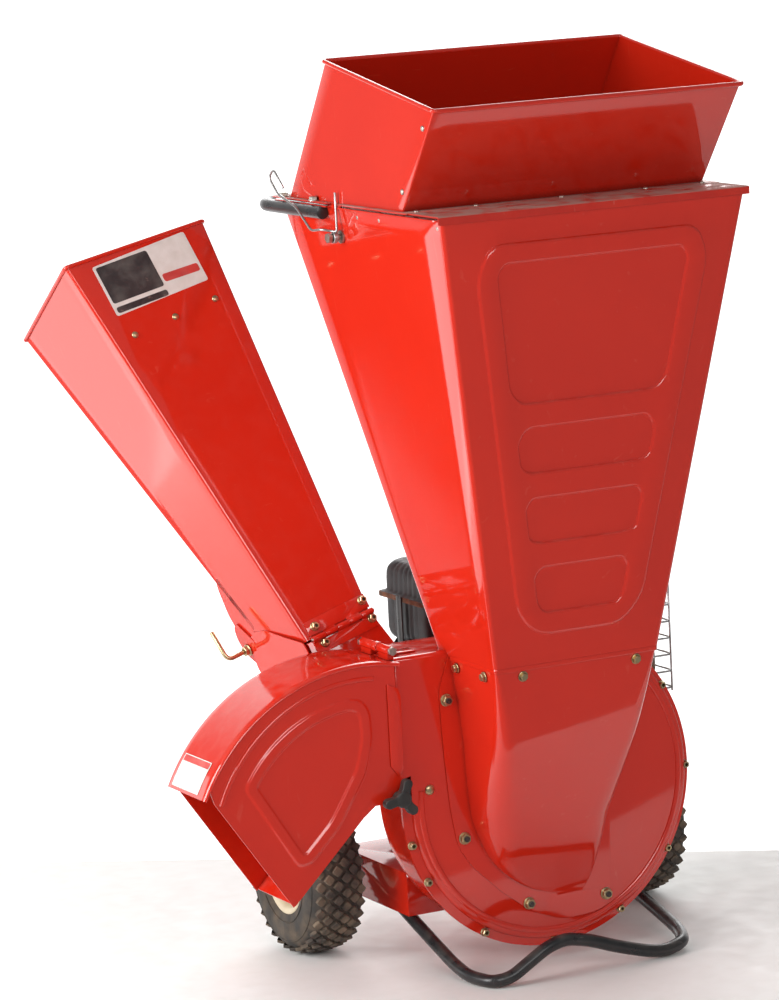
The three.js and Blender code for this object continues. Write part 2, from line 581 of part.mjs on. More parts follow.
for (const side of ['left', 'right']) {
  const sign = side === 'left' ? 1 : -1;
  const face = WHEEL_OUTER[side];
  const wheel = (profile, sides) => turnedX(
    profile.map(([r, d]) => [r, face + sign * d]), WHEEL_Y, WHEEL_R, sides,
  );
  node(`tyre_${side}`, wheel(TYRE_PROFILE, 28), RUBBER);
  node(`rim_${side}`, wheel(RIM_PROFILE, 22), CREAM);
  node(`axle_cap_${side}`, wheel(CAP_PROFILE, 16), STEEL);
}

// ---------------------------------------------------------------- rotor inside the housing
const SHAFT_R = 12.7;
const shaftBore = disc(CRANK_X, CRANK_Z, SHAFT_R + GAP, 0, 400, 24);
const aroundShaft = (made, angle) => made
  .translate([-CRANK_X, 0, -CRANK_Z])
  .rotate([0, angle, 0])
  .translate([CRANK_X, 0, CRANK_Z]);
const paddle = box(CRANK_X + 60, CRANK_X + 192, 34, 86.5, CRANK_Z - 1.6, CRANK_Z + 1.6);
node('impeller', union(
  disc(CRANK_X, CRANK_Z, 172, 86, 91, 40),
  disc(CRANK_X, CRANK_Z, 28, 34, 98, 20),
  ...[0, 90, 180, 270].map((a) => aroundShaft(paddle, a)),
).subtract(shaftBore), CAST);
const knife = box(CRANK_X + 60, CRANK_X + 168, 91.3, 96, CRANK_Z - 16, CRANK_Z + 16);
node('chipper_blade_a', aroundShaft(knife, 45), STEEL);
node('chipper_blade_b', aroundShaft(knife, 225), STEEL);
node('shredder_blade', hull([28, 33.7].flatMap((y) => [
  [CRANK_X - 150, y, CRANK_Z - 26], [CRANK_X - 150, y, CRANK_Z + 14], [CRANK_X - 40, y, CRANK_Z + 24],
  [CRANK_X + 150, y, CRANK_Z + 26], [CRANK_X + 150, y, CRANK_Z - 14], [CRANK_X + 40, y, CRANK_Z - 24],
])).subtract(disc(CRANK_X, CRANK_Z, 6.4, 20, 40, 16)), STEEL);
node('rotor_bolt', union(
  disc(CRANK_X, CRANK_Z, 6, 27, 40, 12),
  disc(CRANK_X, CRANK_Z, 16, 24, 27.7, 20),
  disc(CRANK_X, CRANK_Z, 10, 17, 24.5, 6),
), ZINC);
node('crankshaft', disc(CRANK_X, CRANK_Z, SHAFT_R, 40.3, 338, 24), STEEL);

// ---------------------------------------------------------------- engine
const feet = [[-58, 150], [-58, 262], [78, 150], [78, 262]].map(
  ([x, y]) => box(x, x + 22, y, y + 26, FRAME.high + GAP, 160),
);
const deckCorners = [[-64, 316], [106, 316], [-26, 339], [68, 339]];
const caseBlock = union(
  box(-64, 106, 116, 289, 146, 318),
  disc(CRANK_X, CRANK_Z, 62, HOUSING_BACK + GAP, 120, 32),
  hull(deckCorners.flatMap(([x, z]) => [[x, 120, z], [x, 286, z]])),
  ...feet,
);
node('crankcase', caseBlock.subtract(shaftBore).subtract(box(-56, 98, 124, 281, 168, 312)), CAST);
const fins = [352, 363, 374, 385, 396, 407].map((z) => box(-36, 77, 142, 262, z, z + 3));
node('cylinder', union(box(-22, 63, 156, 248, 339.6, 412), ...fins), CAST);
node('cylinder_head', union(
  box(-34, 75, 144, 260, 412.3, 418),
  ...[-24, -8, 8, 24].map((d) => box(CRANK_X + d - 1.5, CRANK_X + d + 1.5, 186, 256, 417.5, 428)),
), CAST);
node('spark_plug', union(
  rod([20, 166, 418.3], [20, 166, 426], 9, 6),
  rod([20, 166, 425], [20, 166, 444], 5.5, 12),
  rod([20, 166, 440], [20, 166, 462], 8, 12),
  rod([20, 166, 455], [-8, 166, 462], 6, 10),
), PLASTIC);
const blowerOutline = [
  ...arc(CRANK_X, CRANK_Z, 112, -40, 220, 26), [-66, 172], [-40, 150], [80, 150], [106, 172],
];
const blowerTop = [[-52, 344], [-52, 400], [-30, 426], [70, 426], [94, 400], [94, 344]];
const shroud = prismY(blowerOutline, 290, 348).add(prismY(blowerTop, 266, 348));
const shroudRoom = disc(CRANK_X, CRANK_Z, 98, 284, 346, 40)
  .add(box(-48, 90, 260, 346, 340, 422))
  .add(disc(CRANK_X, CRANK_Z, 60, 340, 352, 32));
node('blower_housing', shroud.subtract(shroudRoom), BLACK);
const vane = box(CRANK_X + 40, CRANK_X + 86, 300, 336, CRANK_Z - 1.5, CRANK_Z + 1.5);
node('flywheel', union(
  disc(CRANK_X, CRANK_Z, 88, 296, 304, 36),
  disc(CRANK_X, CRANK_Z, 30, 296, 330, 20),
  ...[0, 45, 90, 135, 180, 225, 270, 315].map((a) => aroundShaft(vane, a)),
).subtract(shaftBore), CAST);
const slots = [20, 65, 110, 155, 200, 245, 290, 335].map((a) => aroundShaft(
  box(CRANK_X + 30, CRANK_X + 62, 360, 400, CRANK_Z - 5, CRANK_Z + 5), a,
));
node('starter_cover', disc(CRANK_X, CRANK_Z, 84, 348 + GAP, 378, 36)
  .subtract(disc(CRANK_X, CRANK_Z, 80, 340, 374, 36))
  .subtract(union(...slots)), BLACK);
node('starter_handle', union(
  rod([108, 366, 290], [108, 366, 334], 7, 12),
  rod([107, 366, 312], [120, 366, 312], 6, 10),
), PLASTIC);

const tankShape = (z, grow) => [
  [-60 - grow, 203, z], [-52, 195 - grow, z], [87, 195 - grow, z], [95 + grow, 203, z],
  [95 + grow, 322, z], [87, 330 + grow, z], [-52, 330 + grow, z], [-60 - grow, 322, z],
];
const tank = union(
  hull([
    ...tankShape(440, -1), ...tankShape(430.5, -8), ...tankShape(532, -1), ...tankShape(542, -5),
    ...tankShape(548, -14),
  ]),
  hull([...tankShape(493, 8), ...tankShape(500, 8)]),
);
const tankRoom = hull([
  ...tankShape(442, -5), ...tankShape(434, -12), ...tankShape(530, -5), ...tankShape(543, -18),
]);
const filler = rod([36, 268, 530], [36, 268, 556], 17, 18);
node('fuel_tank', tank.subtract(tankRoom).subtract(filler), GREY);
node('fuel_cap', union(
  rod([36, 268, 548.3], [36, 268, 566], 26, 18),
  rod([36, 268, 560], [36, 268, 570], 22, 18),
), PLASTIC);
node('tank_strap', union(
  box(-70.6, -68.4, 254, 270, 428.3, 501),
  box(103.4, 105.6, 254, 270, 428.3, 501),
  box(-70.6, 105.6, 254, 270, 428.3, 430.2),
), STEEL);

const boxPlan = [
  [212, 200], [200, 212], [200, 300], [212, 312], [316, 312], [328, 300], [328, 212], [316, 200],
];
node('muffler', union(
  hull(boxPlan.flatMap(([x, y]) => [[x, y, 338], [x, y, 450]])),
  rod([77.5, 220, 372], [204, 220, 372], 13, 16),
  rod([264, 208, 394], [264, 190, 394], 12, 14),
).subtract(box(204, 324, 204, 308, 342, 446)).subtract(rod([264, 230, 394], [264, 180, 394], 10, 14)), CAST);
const WIRE = 1.6;
const cageRungs = [322, 347, 372, 397, 422, 447, 472].flatMap((z) => [
  box(192, 342, 181, 181 + 2 * WIRE, z - WIRE, z + WIRE),
  box(342 - 2 * WIRE, 342, 181, 331, z - WIRE, z + WIRE),
  box(192, 342, 331 - 2 * WIRE, 331, z - WIRE, z + WIRE),
]);
const cagePosts = [
  [205, 185], [250, 185], [295, 185], [338, 185], [338, 256], [338, 327], [270, 327], [205, 327],
].map(([x, y]) => box(x - WIRE, x + WIRE, y - WIRE, y + WIRE, 317, 477));
node('muffler_guard', union(...cageRungs, ...cagePosts), STEEL);

node('carburettor', union(
  box(-62, -37, 176, 214, 352, 392),
  rod([-50, 195, 338], [-50, 195, 354], 12, 16),
), CAST);
node('air_cleaner', hull([
  [-118, 168, 346], [-64, 160, 338], [-118, 224, 346], [-64, 232, 338],
  [-118, 168, 402], [-64, 160, 412], [-118, 224, 402], [-64, 232, 412],
]), PLASTIC);
node('choke_lever', union(
  rod([-50, 175.4, 384], [-50, 168, 384], 4, 10),
  box(-53, -47, 168, 170.5, 384, 408),
), PLASTIC);
const LEVER = [311, 376];              // throttle pivot on the blower housing's left side
node('control_plate', box(-54.6, -52.3, 292, 330, 350, 400), STEEL);
node('throttle_lever', union(
  rod([-54.9, ...LEVER], [-61, ...LEVER], 5.5, 12),
  box(-59.6, -57, LEVER[0] - 3, LEVER[0] + 3, LEVER[1], LEVER[1] + 32),
  rod([-64, LEVER[0], LEVER[1] + 34], [-53, LEVER[0], LEVER[1] + 34], 5, 10),
), PLASTIC);
node('oil_cap', union(
  rod([-64.3, 250, 178], [-76, 250, 178], 14, 18),
  box(-84, -75, 248, 252, 168, 188),
), PLASTIC);

// ---------------------------------------------------------------- origin: middle of the footprint
const middle = new THREE.Box3().setFromObject(group).getCenter(new THREE.Vector3());
for (const mesh of group.children) mesh.geometry.translate(-middle.x, -middle.y, 0);

export default group;
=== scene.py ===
"""Looks of a wheeled garden wood chipper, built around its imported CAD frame."""

import json
import math

import bmesh
import bpy
from mathutils import Matrix, Quaternion, Vector

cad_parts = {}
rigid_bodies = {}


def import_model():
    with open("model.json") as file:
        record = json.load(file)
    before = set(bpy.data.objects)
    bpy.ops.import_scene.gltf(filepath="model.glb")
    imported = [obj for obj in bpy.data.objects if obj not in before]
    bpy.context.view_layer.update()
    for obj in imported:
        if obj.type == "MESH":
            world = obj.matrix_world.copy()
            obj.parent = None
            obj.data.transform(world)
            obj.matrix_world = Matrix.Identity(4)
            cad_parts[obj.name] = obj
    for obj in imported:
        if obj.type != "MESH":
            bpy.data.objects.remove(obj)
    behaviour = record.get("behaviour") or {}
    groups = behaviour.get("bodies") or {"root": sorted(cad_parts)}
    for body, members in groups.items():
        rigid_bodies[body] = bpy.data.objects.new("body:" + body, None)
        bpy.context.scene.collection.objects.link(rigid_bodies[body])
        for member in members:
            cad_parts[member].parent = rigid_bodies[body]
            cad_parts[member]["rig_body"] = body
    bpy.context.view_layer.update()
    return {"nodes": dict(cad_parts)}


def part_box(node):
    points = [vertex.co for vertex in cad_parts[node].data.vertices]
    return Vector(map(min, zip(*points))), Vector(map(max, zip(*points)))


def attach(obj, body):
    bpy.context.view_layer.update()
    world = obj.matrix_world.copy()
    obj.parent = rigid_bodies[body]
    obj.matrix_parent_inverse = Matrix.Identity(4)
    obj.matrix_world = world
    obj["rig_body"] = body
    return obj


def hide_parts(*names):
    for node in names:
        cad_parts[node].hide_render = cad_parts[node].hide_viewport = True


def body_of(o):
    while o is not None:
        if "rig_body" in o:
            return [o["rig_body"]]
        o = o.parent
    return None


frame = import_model()

# ------------------------------------------------------------------ design frame
# Lengths below are millimetres in the design frame: x = 20.5 at the crankshaft, y = -245 at the
# hopper's front ledge, z = 0 on the floor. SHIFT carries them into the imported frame, in metres.
MM = 0.001
CRANK_X = 20.5
CRANK_Z = 253.6
SHELF_FRONT = -245
shaft_low, shaft_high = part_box("crankshaft")
shelf_low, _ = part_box("hopper_shelf")
SHIFT = Vector(((shaft_low.x + shaft_high.x) / 2 - CRANK_X * MM, shelf_low.y - SHELF_FRONT * MM, 0))

HOPPER_LOW_Z = 462.6
HOPPER_LOW = {"half": 128.8, "front": -134.4, "back": 26.3}
HOPPER_TOP_Z = 1099
HOPPER_TOP = {"half": 234, "front": -240.6, "back": 237.5}
FLANGE_HALF = 244
FLANGE_BACK = 246
UPPER_Z = 1101.2
DISH_X = 25
DISH_R = 222
RIM_R = 232
NECK = {"left": -200, "low": 258, "high": 469}
CUT_Z = 461.8
SHEET = 2
OUTLET = (-275, 198)
OUTLET_R = 275
CHUTE_HINGE = Vector((-233.8, 130, 497.3))
CHUTE_LEAN = math.radians(-22.8)
CHUTE_ROLL = math.radians(-16.6)
CHUTE_HALF = 56.5
CHUTE_DEPTH = 111
CHUTE_FLARE = math.tan(math.radians(5.4))
CHUTE_FLARE_BACK = math.tan(math.radians(11.6))
CHUTE_LENGTH = 627
TO_FRONT, TO_LEFT, UP = (0, -1, 0), (-1, 0, 0), (0, 0, 1)
WHEEL = (264, 119.5)
WHEEL_FACE = {"left": (-285, 1), "right": (340, -1)}
LOCK = (157.5, 36)


def place(point):
    return Vector(point) * MM + SHIFT


chute_turn = Matrix.Rotation(CHUTE_LEAN, 4, "X") @ Matrix.Rotation(CHUTE_ROLL, 4, "Y")
chute_frame = Matrix.Translation(CHUTE_HINGE) @ chute_turn
in_design = Matrix.Identity(4)


# ------------------------------------------------------------------ materials
class Graph:
    """The shader nodes of one material."""

    def __init__(self, name):
        self.made = bpy.data.materials.new(name)
        self.made.use_nodes = True
        self.nodes = self.made.node_tree.nodes
        self.shader = self.nodes["Principled BSDF"]
        self.coords = self.nodes.new("ShaderNodeTexCoord").outputs["Object"]

    def node(self, kind, **values):
        """A new node; each value is set on the input of that name, with _ for a space."""
        node = self.nodes.new("ShaderNode" + kind)
        for name, value in values.items():
            node.inputs[name.replace("_", " ")].default_value = value
        return node

    def link(self, value, socket):
        self.made.node_tree.links.new(value, socket)

    def noise(self, scale, detail, stretch=None, distortion=0.0):
        texture = self.node("TexNoise", Scale=scale, Detail=detail, Distortion=distortion)
        coords = self.coords
        if stretch:
            mapping = self.node("Mapping", Scale=stretch, Rotation=(0.4, 0.3, 0.2))
            self.link(coords, mapping.inputs["Vector"])
            coords = mapping.outputs["Vector"]
        self.link(coords, texture.inputs["Vector"])
        return texture.outputs["Fac"]

    def remap(self, value, low, high, out_low=0.0, out_high=1.0):
        node = self.node("MapRange", From_Min=low, From_Max=high, To_Min=out_low, To_Max=out_high)
        self.link(value, node.inputs["Value"])
        return node.outputs["Result"]

    def maths(self, operation, a, b):
        node = self.node("Math")
        node.operation = operation
        self.link(a, node.inputs[0])
        self.link(b, node.inputs[1])
        return node.outputs[0]

    def mix(self, factor, under, over):
        """Two colours, mixed; each is a fixed colour or the output of a node."""
        node = self.node("Mix")
        node.data_type = "RGBA"
        self.link(factor, node.inputs["Factor"])
        for value, socket in ((under, node.inputs["A"]), (over, node.inputs["B"])):
            if isinstance(value, tuple):
                socket.default_value = (*value, 1)
            else:
                self.link(value, socket)
        return node.outputs["Result"]


def weathered(
    name, colour, second, roughness, metallic=0.0, patch=9.0, dust=(0.55, 0.5, 0.43), dust_amount=0.1,
    scratch=(0.8, 0.5, 0.4), scratch_amount=0.2, corner_shade=(0.05, 0.03, 0.02), corner_shade_amount=0.5,
    bump_scale=900.0, bump=0.02, dents=0.0, top_dust=0.3, dust_from=0.42, gloss=0.5,
):
    """Paint, metal or plastic with patchy colour, scuffs, dust on top faces and painted shade in corners."""
    graph = Graph(name)
    principled = graph.shader.inputs
    patches = graph.remap(graph.noise(patch, 5), 0.35, 0.68)
    tone = graph.mix(patches, colour, second)
    streaks = graph.noise(60, 6, stretch=(1, 4.5, 0.35), distortion=0.6)
    tone = graph.mix(graph.remap(streaks, 0.66, 0.78, 0, scratch_amount), tone, scratch)
    split = graph.node("SeparateXYZ")
    graph.link(graph.node("NewGeometry").outputs["Normal"], split.inputs["Vector"])
    upward = graph.remap(split.outputs["Z"], 0.3, 1.0, dust_amount, dust_amount + top_dust)
    speckle = graph.remap(graph.noise(38, 8, distortion=0.3), dust_from, dust_from + 0.3)
    dusty = graph.maths("MULTIPLY", upward, speckle)
    tone = graph.mix(dusty, tone, dust)
    # Painted shade: an ambient-occlusion mask darkens corners, creases and recesses towards the corner
    # colour.
    corners = graph.node("AmbientOcclusion", Distance=0.012)
    corners.samples = 4
    corner_shade_mask = graph.remap(corners.outputs["AO"], 0.75, 0.25, 0, corner_shade_amount)
    tone = graph.mix(corner_shade_mask, tone, corner_shade)
    graph.link(tone, principled["Base Color"])
    rough = graph.remap(graph.noise(24, 6), 0.3, 0.75, roughness, roughness * 1.45)
    graph.link(graph.maths("ADD", rough, dusty), principled["Roughness"])
    principled["Metallic"].default_value = metallic
    principled["Specular IOR Level"].default_value = gloss
    last = graph.node("Bump", Strength=bump, Distance=0.0006)
    graph.link(graph.noise(bump_scale, 2), last.inputs["Height"])
    if dents:
        fine = last
        last = graph.node("Bump", Strength=dents, Distance=0.004)
        graph.link(graph.noise(7, 2), last.inputs["Height"])
        graph.link(fine.outputs["Normal"], last.inputs["Normal"])
    graph.link(last.outputs["Normal"], principled["Normal"])
    return graph.made


# In every material below, the corner colour and its amount give the painted shade in corners and creases.
RED = weathered(
    "red_enamel", (0.62, 0.022, 0.008), (0.585, 0.019, 0.007), 0.055, patch=4, dust=(0.6, 0.4, 0.34),
    dust_amount=0.0, scratch=(0.78, 0.24, 0.16), scratch_amount=0.1, corner_shade=(0.14, 0.01, 0.006),
    corner_shade_amount=0.5, bump_scale=230, bump=0.02, dents=0.03, top_dust=0.12, gloss=0.9,
)
RED_WORN = weathered(
    "red_enamel_worn", (0.58, 0.022, 0.009), (0.5, 0.016, 0.008), 0.12, patch=14, dust=(0.4, 0.3, 0.25),
    dust_amount=0.02, dust_from=0.26, scratch=(0.72, 0.45, 0.36), scratch_amount=0.35,
    corner_shade=(0.09, 0.012, 0.008), corner_shade_amount=0.7, bump_scale=300, bump=0.05, top_dust=0.75, gloss=0.7,
)
BLACK = weathered(
    "black_enamel", (0.012, 0.012, 0.014), (0.022, 0.021, 0.022), 0.24, patch=18, dust=(0.3, 0.26, 0.22),
    dust_amount=0.05, scratch=(0.2, 0.19, 0.18), scratch_amount=0.45, bump_scale=420, bump=0.05,
    top_dust=0.18,
)
RUBBER = weathered(
    "tyre_rubber", (0.022, 0.02, 0.018), (0.045, 0.038, 0.03), 0.62, patch=45, dust=(0.3, 0.22, 0.15),
    dust_amount=0.28, scratch=(0.25, 0.2, 0.15), scratch_amount=0.3, bump_scale=700, bump=0.2, top_dust=0.1,
)
TREAD = weathered(
    "tyre_tread_tops", (0.035, 0.029, 0.025), (0.085, 0.068, 0.054), 0.7, patch=60, dust=(0.4, 0.3, 0.2),
    dust_amount=0.4, scratch=(0.32, 0.25, 0.18), scratch_amount=0.4, bump_scale=900, bump=0.3, top_dust=0.1,
)
FLAP = weathered("flap_rubber", (0.02, 0.02, 0.02), (0.035, 0.033, 0.03), 0.7, patch=25, bump=0.15)
CREAM = weathered(
    "cream_enamel", (0.62, 0.54, 0.38), (0.52, 0.43, 0.29), 0.3, patch=30, dust=(0.35, 0.28, 0.2),
    dust_amount=0.2, scratch=(0.35, 0.25, 0.16), scratch_amount=0.4, corner_shade=(0.12, 0.08, 0.05),
)
ZINC = weathered(
    "zinc_plate", (0.62, 0.6, 0.55), (0.46, 0.43, 0.37), 0.28, metallic=1, patch=140,
    dust=(0.4, 0.33, 0.24), dust_amount=0.12, scratch_amount=0.2, bump_scale=1500, bump=0.05,
)
YELLOW_ZINC = weathered(
    "yellow_zinc_plate", (0.6, 0.48, 0.26), (0.5, 0.39, 0.24), 0.28, metallic=1, patch=60,
    dust=(0.35, 0.27, 0.16), dust_amount=0.12, scratch_amount=0.25, bump_scale=1500, bump=0.05,
)
THREAD = weathered(
    "dark_screw_end", (0.05, 0.045, 0.05), (0.12, 0.1, 0.09), 0.4, metallic=1, patch=300,
    bump_scale=2500, bump=0.3,
)
STEEL = weathered(
    "bright_steel", (0.55, 0.55, 0.56), (0.42, 0.41, 0.4), 0.3, metallic=1, patch=80,
    dust=(0.32, 0.24, 0.16), dust_amount=0.12, scratch_amount=0.3, bump_scale=1400, bump=0.06,
)
CAST = weathered(
    "cast_aluminium", (0.42, 0.43, 0.44), (0.33, 0.33, 0.33), 0.5, metallic=0.85, patch=60,
    dust=(0.26, 0.21, 0.16), dust_amount=0.2, corner_shade=(0.03, 0.025, 0.02), corner_shade_amount=0.8,
    bump_scale=1100, bump=0.25,
)
MUFFLER = weathered(
    "burnt_steel", (0.16, 0.12, 0.1), (0.3, 0.17, 0.1), 0.55, metallic=0.7, patch=28,
    dust=(0.35, 0.2, 0.12), dust_amount=0.25, bump_scale=900, bump=0.2,
)
PLASTIC = weathered(
    "black_plastic", (0.014, 0.014, 0.015), (0.03, 0.028, 0.027), 0.38, patch=40, dust=(0.24, 0.2, 0.16),
    dust_amount=0.08, scratch=(0.2, 0.18, 0.16), scratch_amount=0.3, bump_scale=1300, bump=0.12,
)
GREY = weathered(
    "grey_plastic", (0.022, 0.022, 0.026), (0.034, 0.033, 0.036), 0.4, patch=14, dust=(0.3, 0.27, 0.24),
    dust_amount=0.1, scratch=(0.25, 0.23, 0.22), scratch_amount=0.25, bump_scale=1000, bump=0.12,
)
RUSTY = weathered(
    "rusty_seam", (0.1, 0.06, 0.04), (0.26, 0.12, 0.06), 0.7, patch=70, dust=(0.33, 0.18, 0.1),
    dust_amount=0.3, bump_scale=900, bump=0.3,
)
LABEL_WHITE = weathered(
    "label_white", (0.78, 0.76, 0.72), (0.7, 0.67, 0.62), 0.35, patch=60, dust_amount=0.1, bump=0.02,
    scratch=(0.5, 0.4, 0.35), corner_shade_amount=0.2,
)
LABEL_BLACK = weathered(
    "label_black", (0.02, 0.02, 0.022), (0.035, 0.033, 0.033), 0.32, patch=60, dust_amount=0.1, bump=0.02,
)
LABEL_RED = weathered(
    "label_red", (0.62, 0.05, 0.04), (0.5, 0.04, 0.035), 0.32, patch=60, dust_amount=0.06, bump=0.02,
)
FLOOR = weathered(
    "floor_paper", (0.86, 0.85, 0.83), (0.82, 0.81, 0.79), 0.55, patch=1.2, dust=(0.6, 0.55, 0.48),
    dust_amount=0.0, scratch=(0.7, 0.66, 0.6), scratch_amount=0.1, bump_scale=60, bump=0.02, top_dust=0.08,
    corner_shade_amount=0.0,
)
SLOTS = {
    RED: "red_paint", RED_WORN: "red_paint", BLACK: "black_paint", RUBBER: "tyre_rubber",
    TREAD: "tyre_rubber", FLAP: "flap_rubber", CREAM: "cream_paint", ZINC: "zinc",
    YELLOW_ZINC: "yellow_zinc", THREAD: "steel", STEEL: "steel", RUSTY: "steel", CAST: "cast_metal",
    MUFFLER: "muffler_steel", PLASTIC: "black_plastic", GREY: "grey_plastic", LABEL_WHITE: "red_paint",
    LABEL_BLACK: "red_paint", LABEL_RED: "red_paint",
}


# ------------------------------------------------------------------ mesh helpers
def finished(piece, angle=32):
    """Applies the modifiers, then shades smooth with sharp creases."""
    depsgraph = bpy.context.evaluated_depsgraph_get()
    mesh = bpy.data.meshes.new_from_object(piece.evaluated_get(depsgraph))
    piece.modifiers.clear()
    piece.data = mesh
    for polygon in mesh.polygons:
        polygon.use_smooth = True
    mesh.set_sharp_from_angle(angle=math.radians(angle))
    return piece


def piece_of(name, points, faces, look, body, nodes=(), where=in_design, weld=0.01):
    """A mesh piece from design-frame points, riding on a body and standing for its CAD nodes."""
    mesh = bpy.data.meshes.new(name)
    mesh.from_pydata([place(where @ Vector(p)) for p in points], [], faces)
    tidy = bmesh.new()
    tidy.from_mesh(mesh)
    if weld:
        bmesh.ops.remove_doubles(tidy, verts=tidy.verts, dist=weld * MM)
    bmesh.ops.recalc_face_normals(tidy, faces=tidy.faces)
    tidy.to_mesh(mesh)
    tidy.free()
    mesh.materials.append(look)
    piece = bpy.data.objects.new(name, mesh)
    bpy.context.scene.collection.objects.link(piece)
    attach(piece, body)
    if nodes:
        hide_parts(*nodes)
    return piece


def thicken(piece, thickness, side):
    solid = piece.modifiers.new("wall", "SOLIDIFY")
    solid.thickness = thickness * MM
    solid.offset = side
    solid.use_even_offset = True


def round_edges(piece, width, segments=2, angle=30):
    bevel = piece.modifiers.new("edges", "BEVEL")
    bevel.width = width * MM
    bevel.segments = segments
    bevel.limit_method = "ANGLE"
    bevel.angle_limit = math.radians(angle)
    bevel.use_clamp_overlap = True
    bevel.harden_normals = False


class Builder:
    """Collects points and faces of one piece."""

    def __init__(self):
        self.points = []
        self.faces = []

    def add(self, points, faces):
        start = len(self.points)
        self.points += [tuple(p) for p in points]
        self.faces += [[start + i for i in face] for face in faces]

    def grid(self, at, across, along):
        """A sheet of across by along cells; at(u, v) gives its point for u, v from 0 to 1."""
        points = [at(i / across, j / along) for j in range(along + 1) for i in range(across + 1)]
        row = across + 1
        faces = [
            (j * row + i, j * row + i + 1, (j + 1) * row + i + 1, (j + 1) * row + i)
            for j in range(along) for i in range(across)
        ]
        self.add(points, faces)

    def loops(self, rings, closed=True, skip=()):
        """Skins a list of rings of equal length; skip leaves out these segments."""
        count = len(rings[0])
        points = [p for ring in rings for p in ring]
        faces = []
        for j in range(len(rings) - 1):
            for i in range(count if closed else count - 1):
                if i in skip:
                    continue
                k = (i + 1) % count
                faces.append((j * count + i, j * count + k, (j + 1) * count + k, (j + 1) * count + i))
        self.add(points, faces)

    def block(self, low, high):
        corners = [(x, y, z) for z in (low[2], high[2]) for y in (low[1], high[1]) for x in (low[0], high[0])]
        sides = [(0, 2, 3, 1), (4, 5, 7, 6), (0, 1, 5, 4), (2, 6, 7, 3), (0, 4, 6, 2), (1, 3, 7, 5)]
        self.add(corners, sides)

    def slab(self, low, high):
        """Joins two loops of equal length and closes both ends."""
        count = len(low)
        faces = [tuple(range(count)), tuple(reversed(range(count, 2 * count)))]
        faces += [(i, (i + 1) % count, count + (i + 1) % count, count + i) for i in range(count)]
        self.add(low + high, faces)

    def prism(self, outline, low, high, axis=1):
        """A flat outline pushed through from low to high along an axis."""
        def put(point, depth):
            full = list(point)
            full.insert(axis, depth)
            return tuple(full)
        self.slab([put(p, low) for p in outline], [put(p, high) for p in outline])

    def turned(self, profile, start, axis, sides=32, closed=False):
        """A turned shape: profile of (radius, height) about a line from start along axis."""
        axis = Vector(axis).normalized()
        side = axis.orthogonal().normalized()
        other = axis.cross(side)
        rings = []
        for radius, height in profile:
            ring = []
            for i in range(sides):
                a = 2 * math.pi * i / sides
                spoke = side * math.cos(a) + other * math.sin(a)
                ring.append(Vector(start) + axis * height + spoke * max(radius, 0.001))
            rings.append(ring)
        if closed:
            rings.append(rings[0])
        self.loops(rings)

    def made(
        self, name, look, body, nodes=(), where=in_design, weld=0.01, wall=0, edges=(), crease=32, slot=None,
    ):
        """Turns the collected faces into a finished piece.

        wall is the sheet thickness in mm, negative where the sheet grows outwards, and edges is the
        (width in mm, segments, angle) of its rounded edges.
        """
        slot = slot or SLOTS[look]
        piece = piece_of(name, self.points, self.faces, look, body, nodes, where, weld)
        if wall:
            thicken(piece, abs(wall), -math.copysign(1, wall))
        if edges:
            round_edges(piece, *edges)
        return finished(piece, crease)


def arc_points(cx, cz, radius, start, end, steps):
    angles = [math.radians(start + (end - start) * i / steps) for i in range(steps + 1)]
    return [(cx + radius * math.cos(a), cz + radius * math.sin(a)) for a in angles]


def circle(cx, cz, radius, steps):
    angles = [2 * math.pi * i / steps for i in range(steps)]
    return [(cx + radius * math.cos(a), cz + radius * math.sin(a)) for a in angles]


def rounded_path(points, bend, steps=8):
    """A polyline with each inner corner replaced by a curve that starts `bend` before it."""
    points = [Vector(p) for p in points]
    path = [points[0]]
    for before, corner, after in zip(points, points[1:], points[2:]):
        cut = min(bend, (before - corner).length * 0.48, (after - corner).length * 0.48)
        enter = corner + (before - corner).normalized() * cut
        leave = corner + (after - corner).normalized() * cut
        for i in range(steps + 1):
            t = i / steps
            path.append(enter * (1 - t) ** 2 + corner * 2 * t * (1 - t) + leave * t * t)
    path.append(points[-1])
    return path


def smooth_path(points, steps=10):
    """A Catmull-Rom curve through the points."""
    points = [Vector(p) for p in points]
    padded = [points[0] * 2 - points[1]] + points + [points[-1] * 2 - points[-2]]
    path = []
    for a, b, c, d in zip(padded, padded[1:], padded[2:], padded[3:]):
        for i in range(steps):
            t = i / steps
            square = (a * 2 - b * 5 + c * 4 - d) * t * t
            cube = (b * 3 - a - c * 3 + d) * t ** 3
            path.append((b * 2 + (c - a) * t + square + cube) / 2)
    path.append(points[-1])
    return path


def tube(builder, path, radius, sides=16, end_round=0.0):
    """A round bar along a path, with slightly rounded closed ends."""
    path = [Vector(p) for p in path]
    tangents = [
        (path[min(i + 1, len(path) - 1)] - path[max(i - 1, 0)]).normalized() for i in range(len(path))
    ]
    side = tangents[0].orthogonal().normalized()
    frames = []
    for i, tangent in enumerate(tangents):
        if i:
            side = side - tangent * side.dot(tangent)
            side.normalize()
        frames.append((side.copy(), tangent.cross(side)))

    def ring(i, scale, shift):
        side, other = frames[i]
        centre = path[i] + tangents[i] * shift
        return [centre + (side * x + other * z) * radius * scale for x, z in circle(0, 0, 1, sides)]

    last = len(path) - 1
    rings = [ring(0, 0.01, -end_round), ring(0, 0.8, -end_round)]
    rings += [ring(i, 1, 0) for i in range(len(path))]
    rings += [ring(last, 0.8, end_round), ring(last, 0.01, end_round)]
    builder.loops(rings)


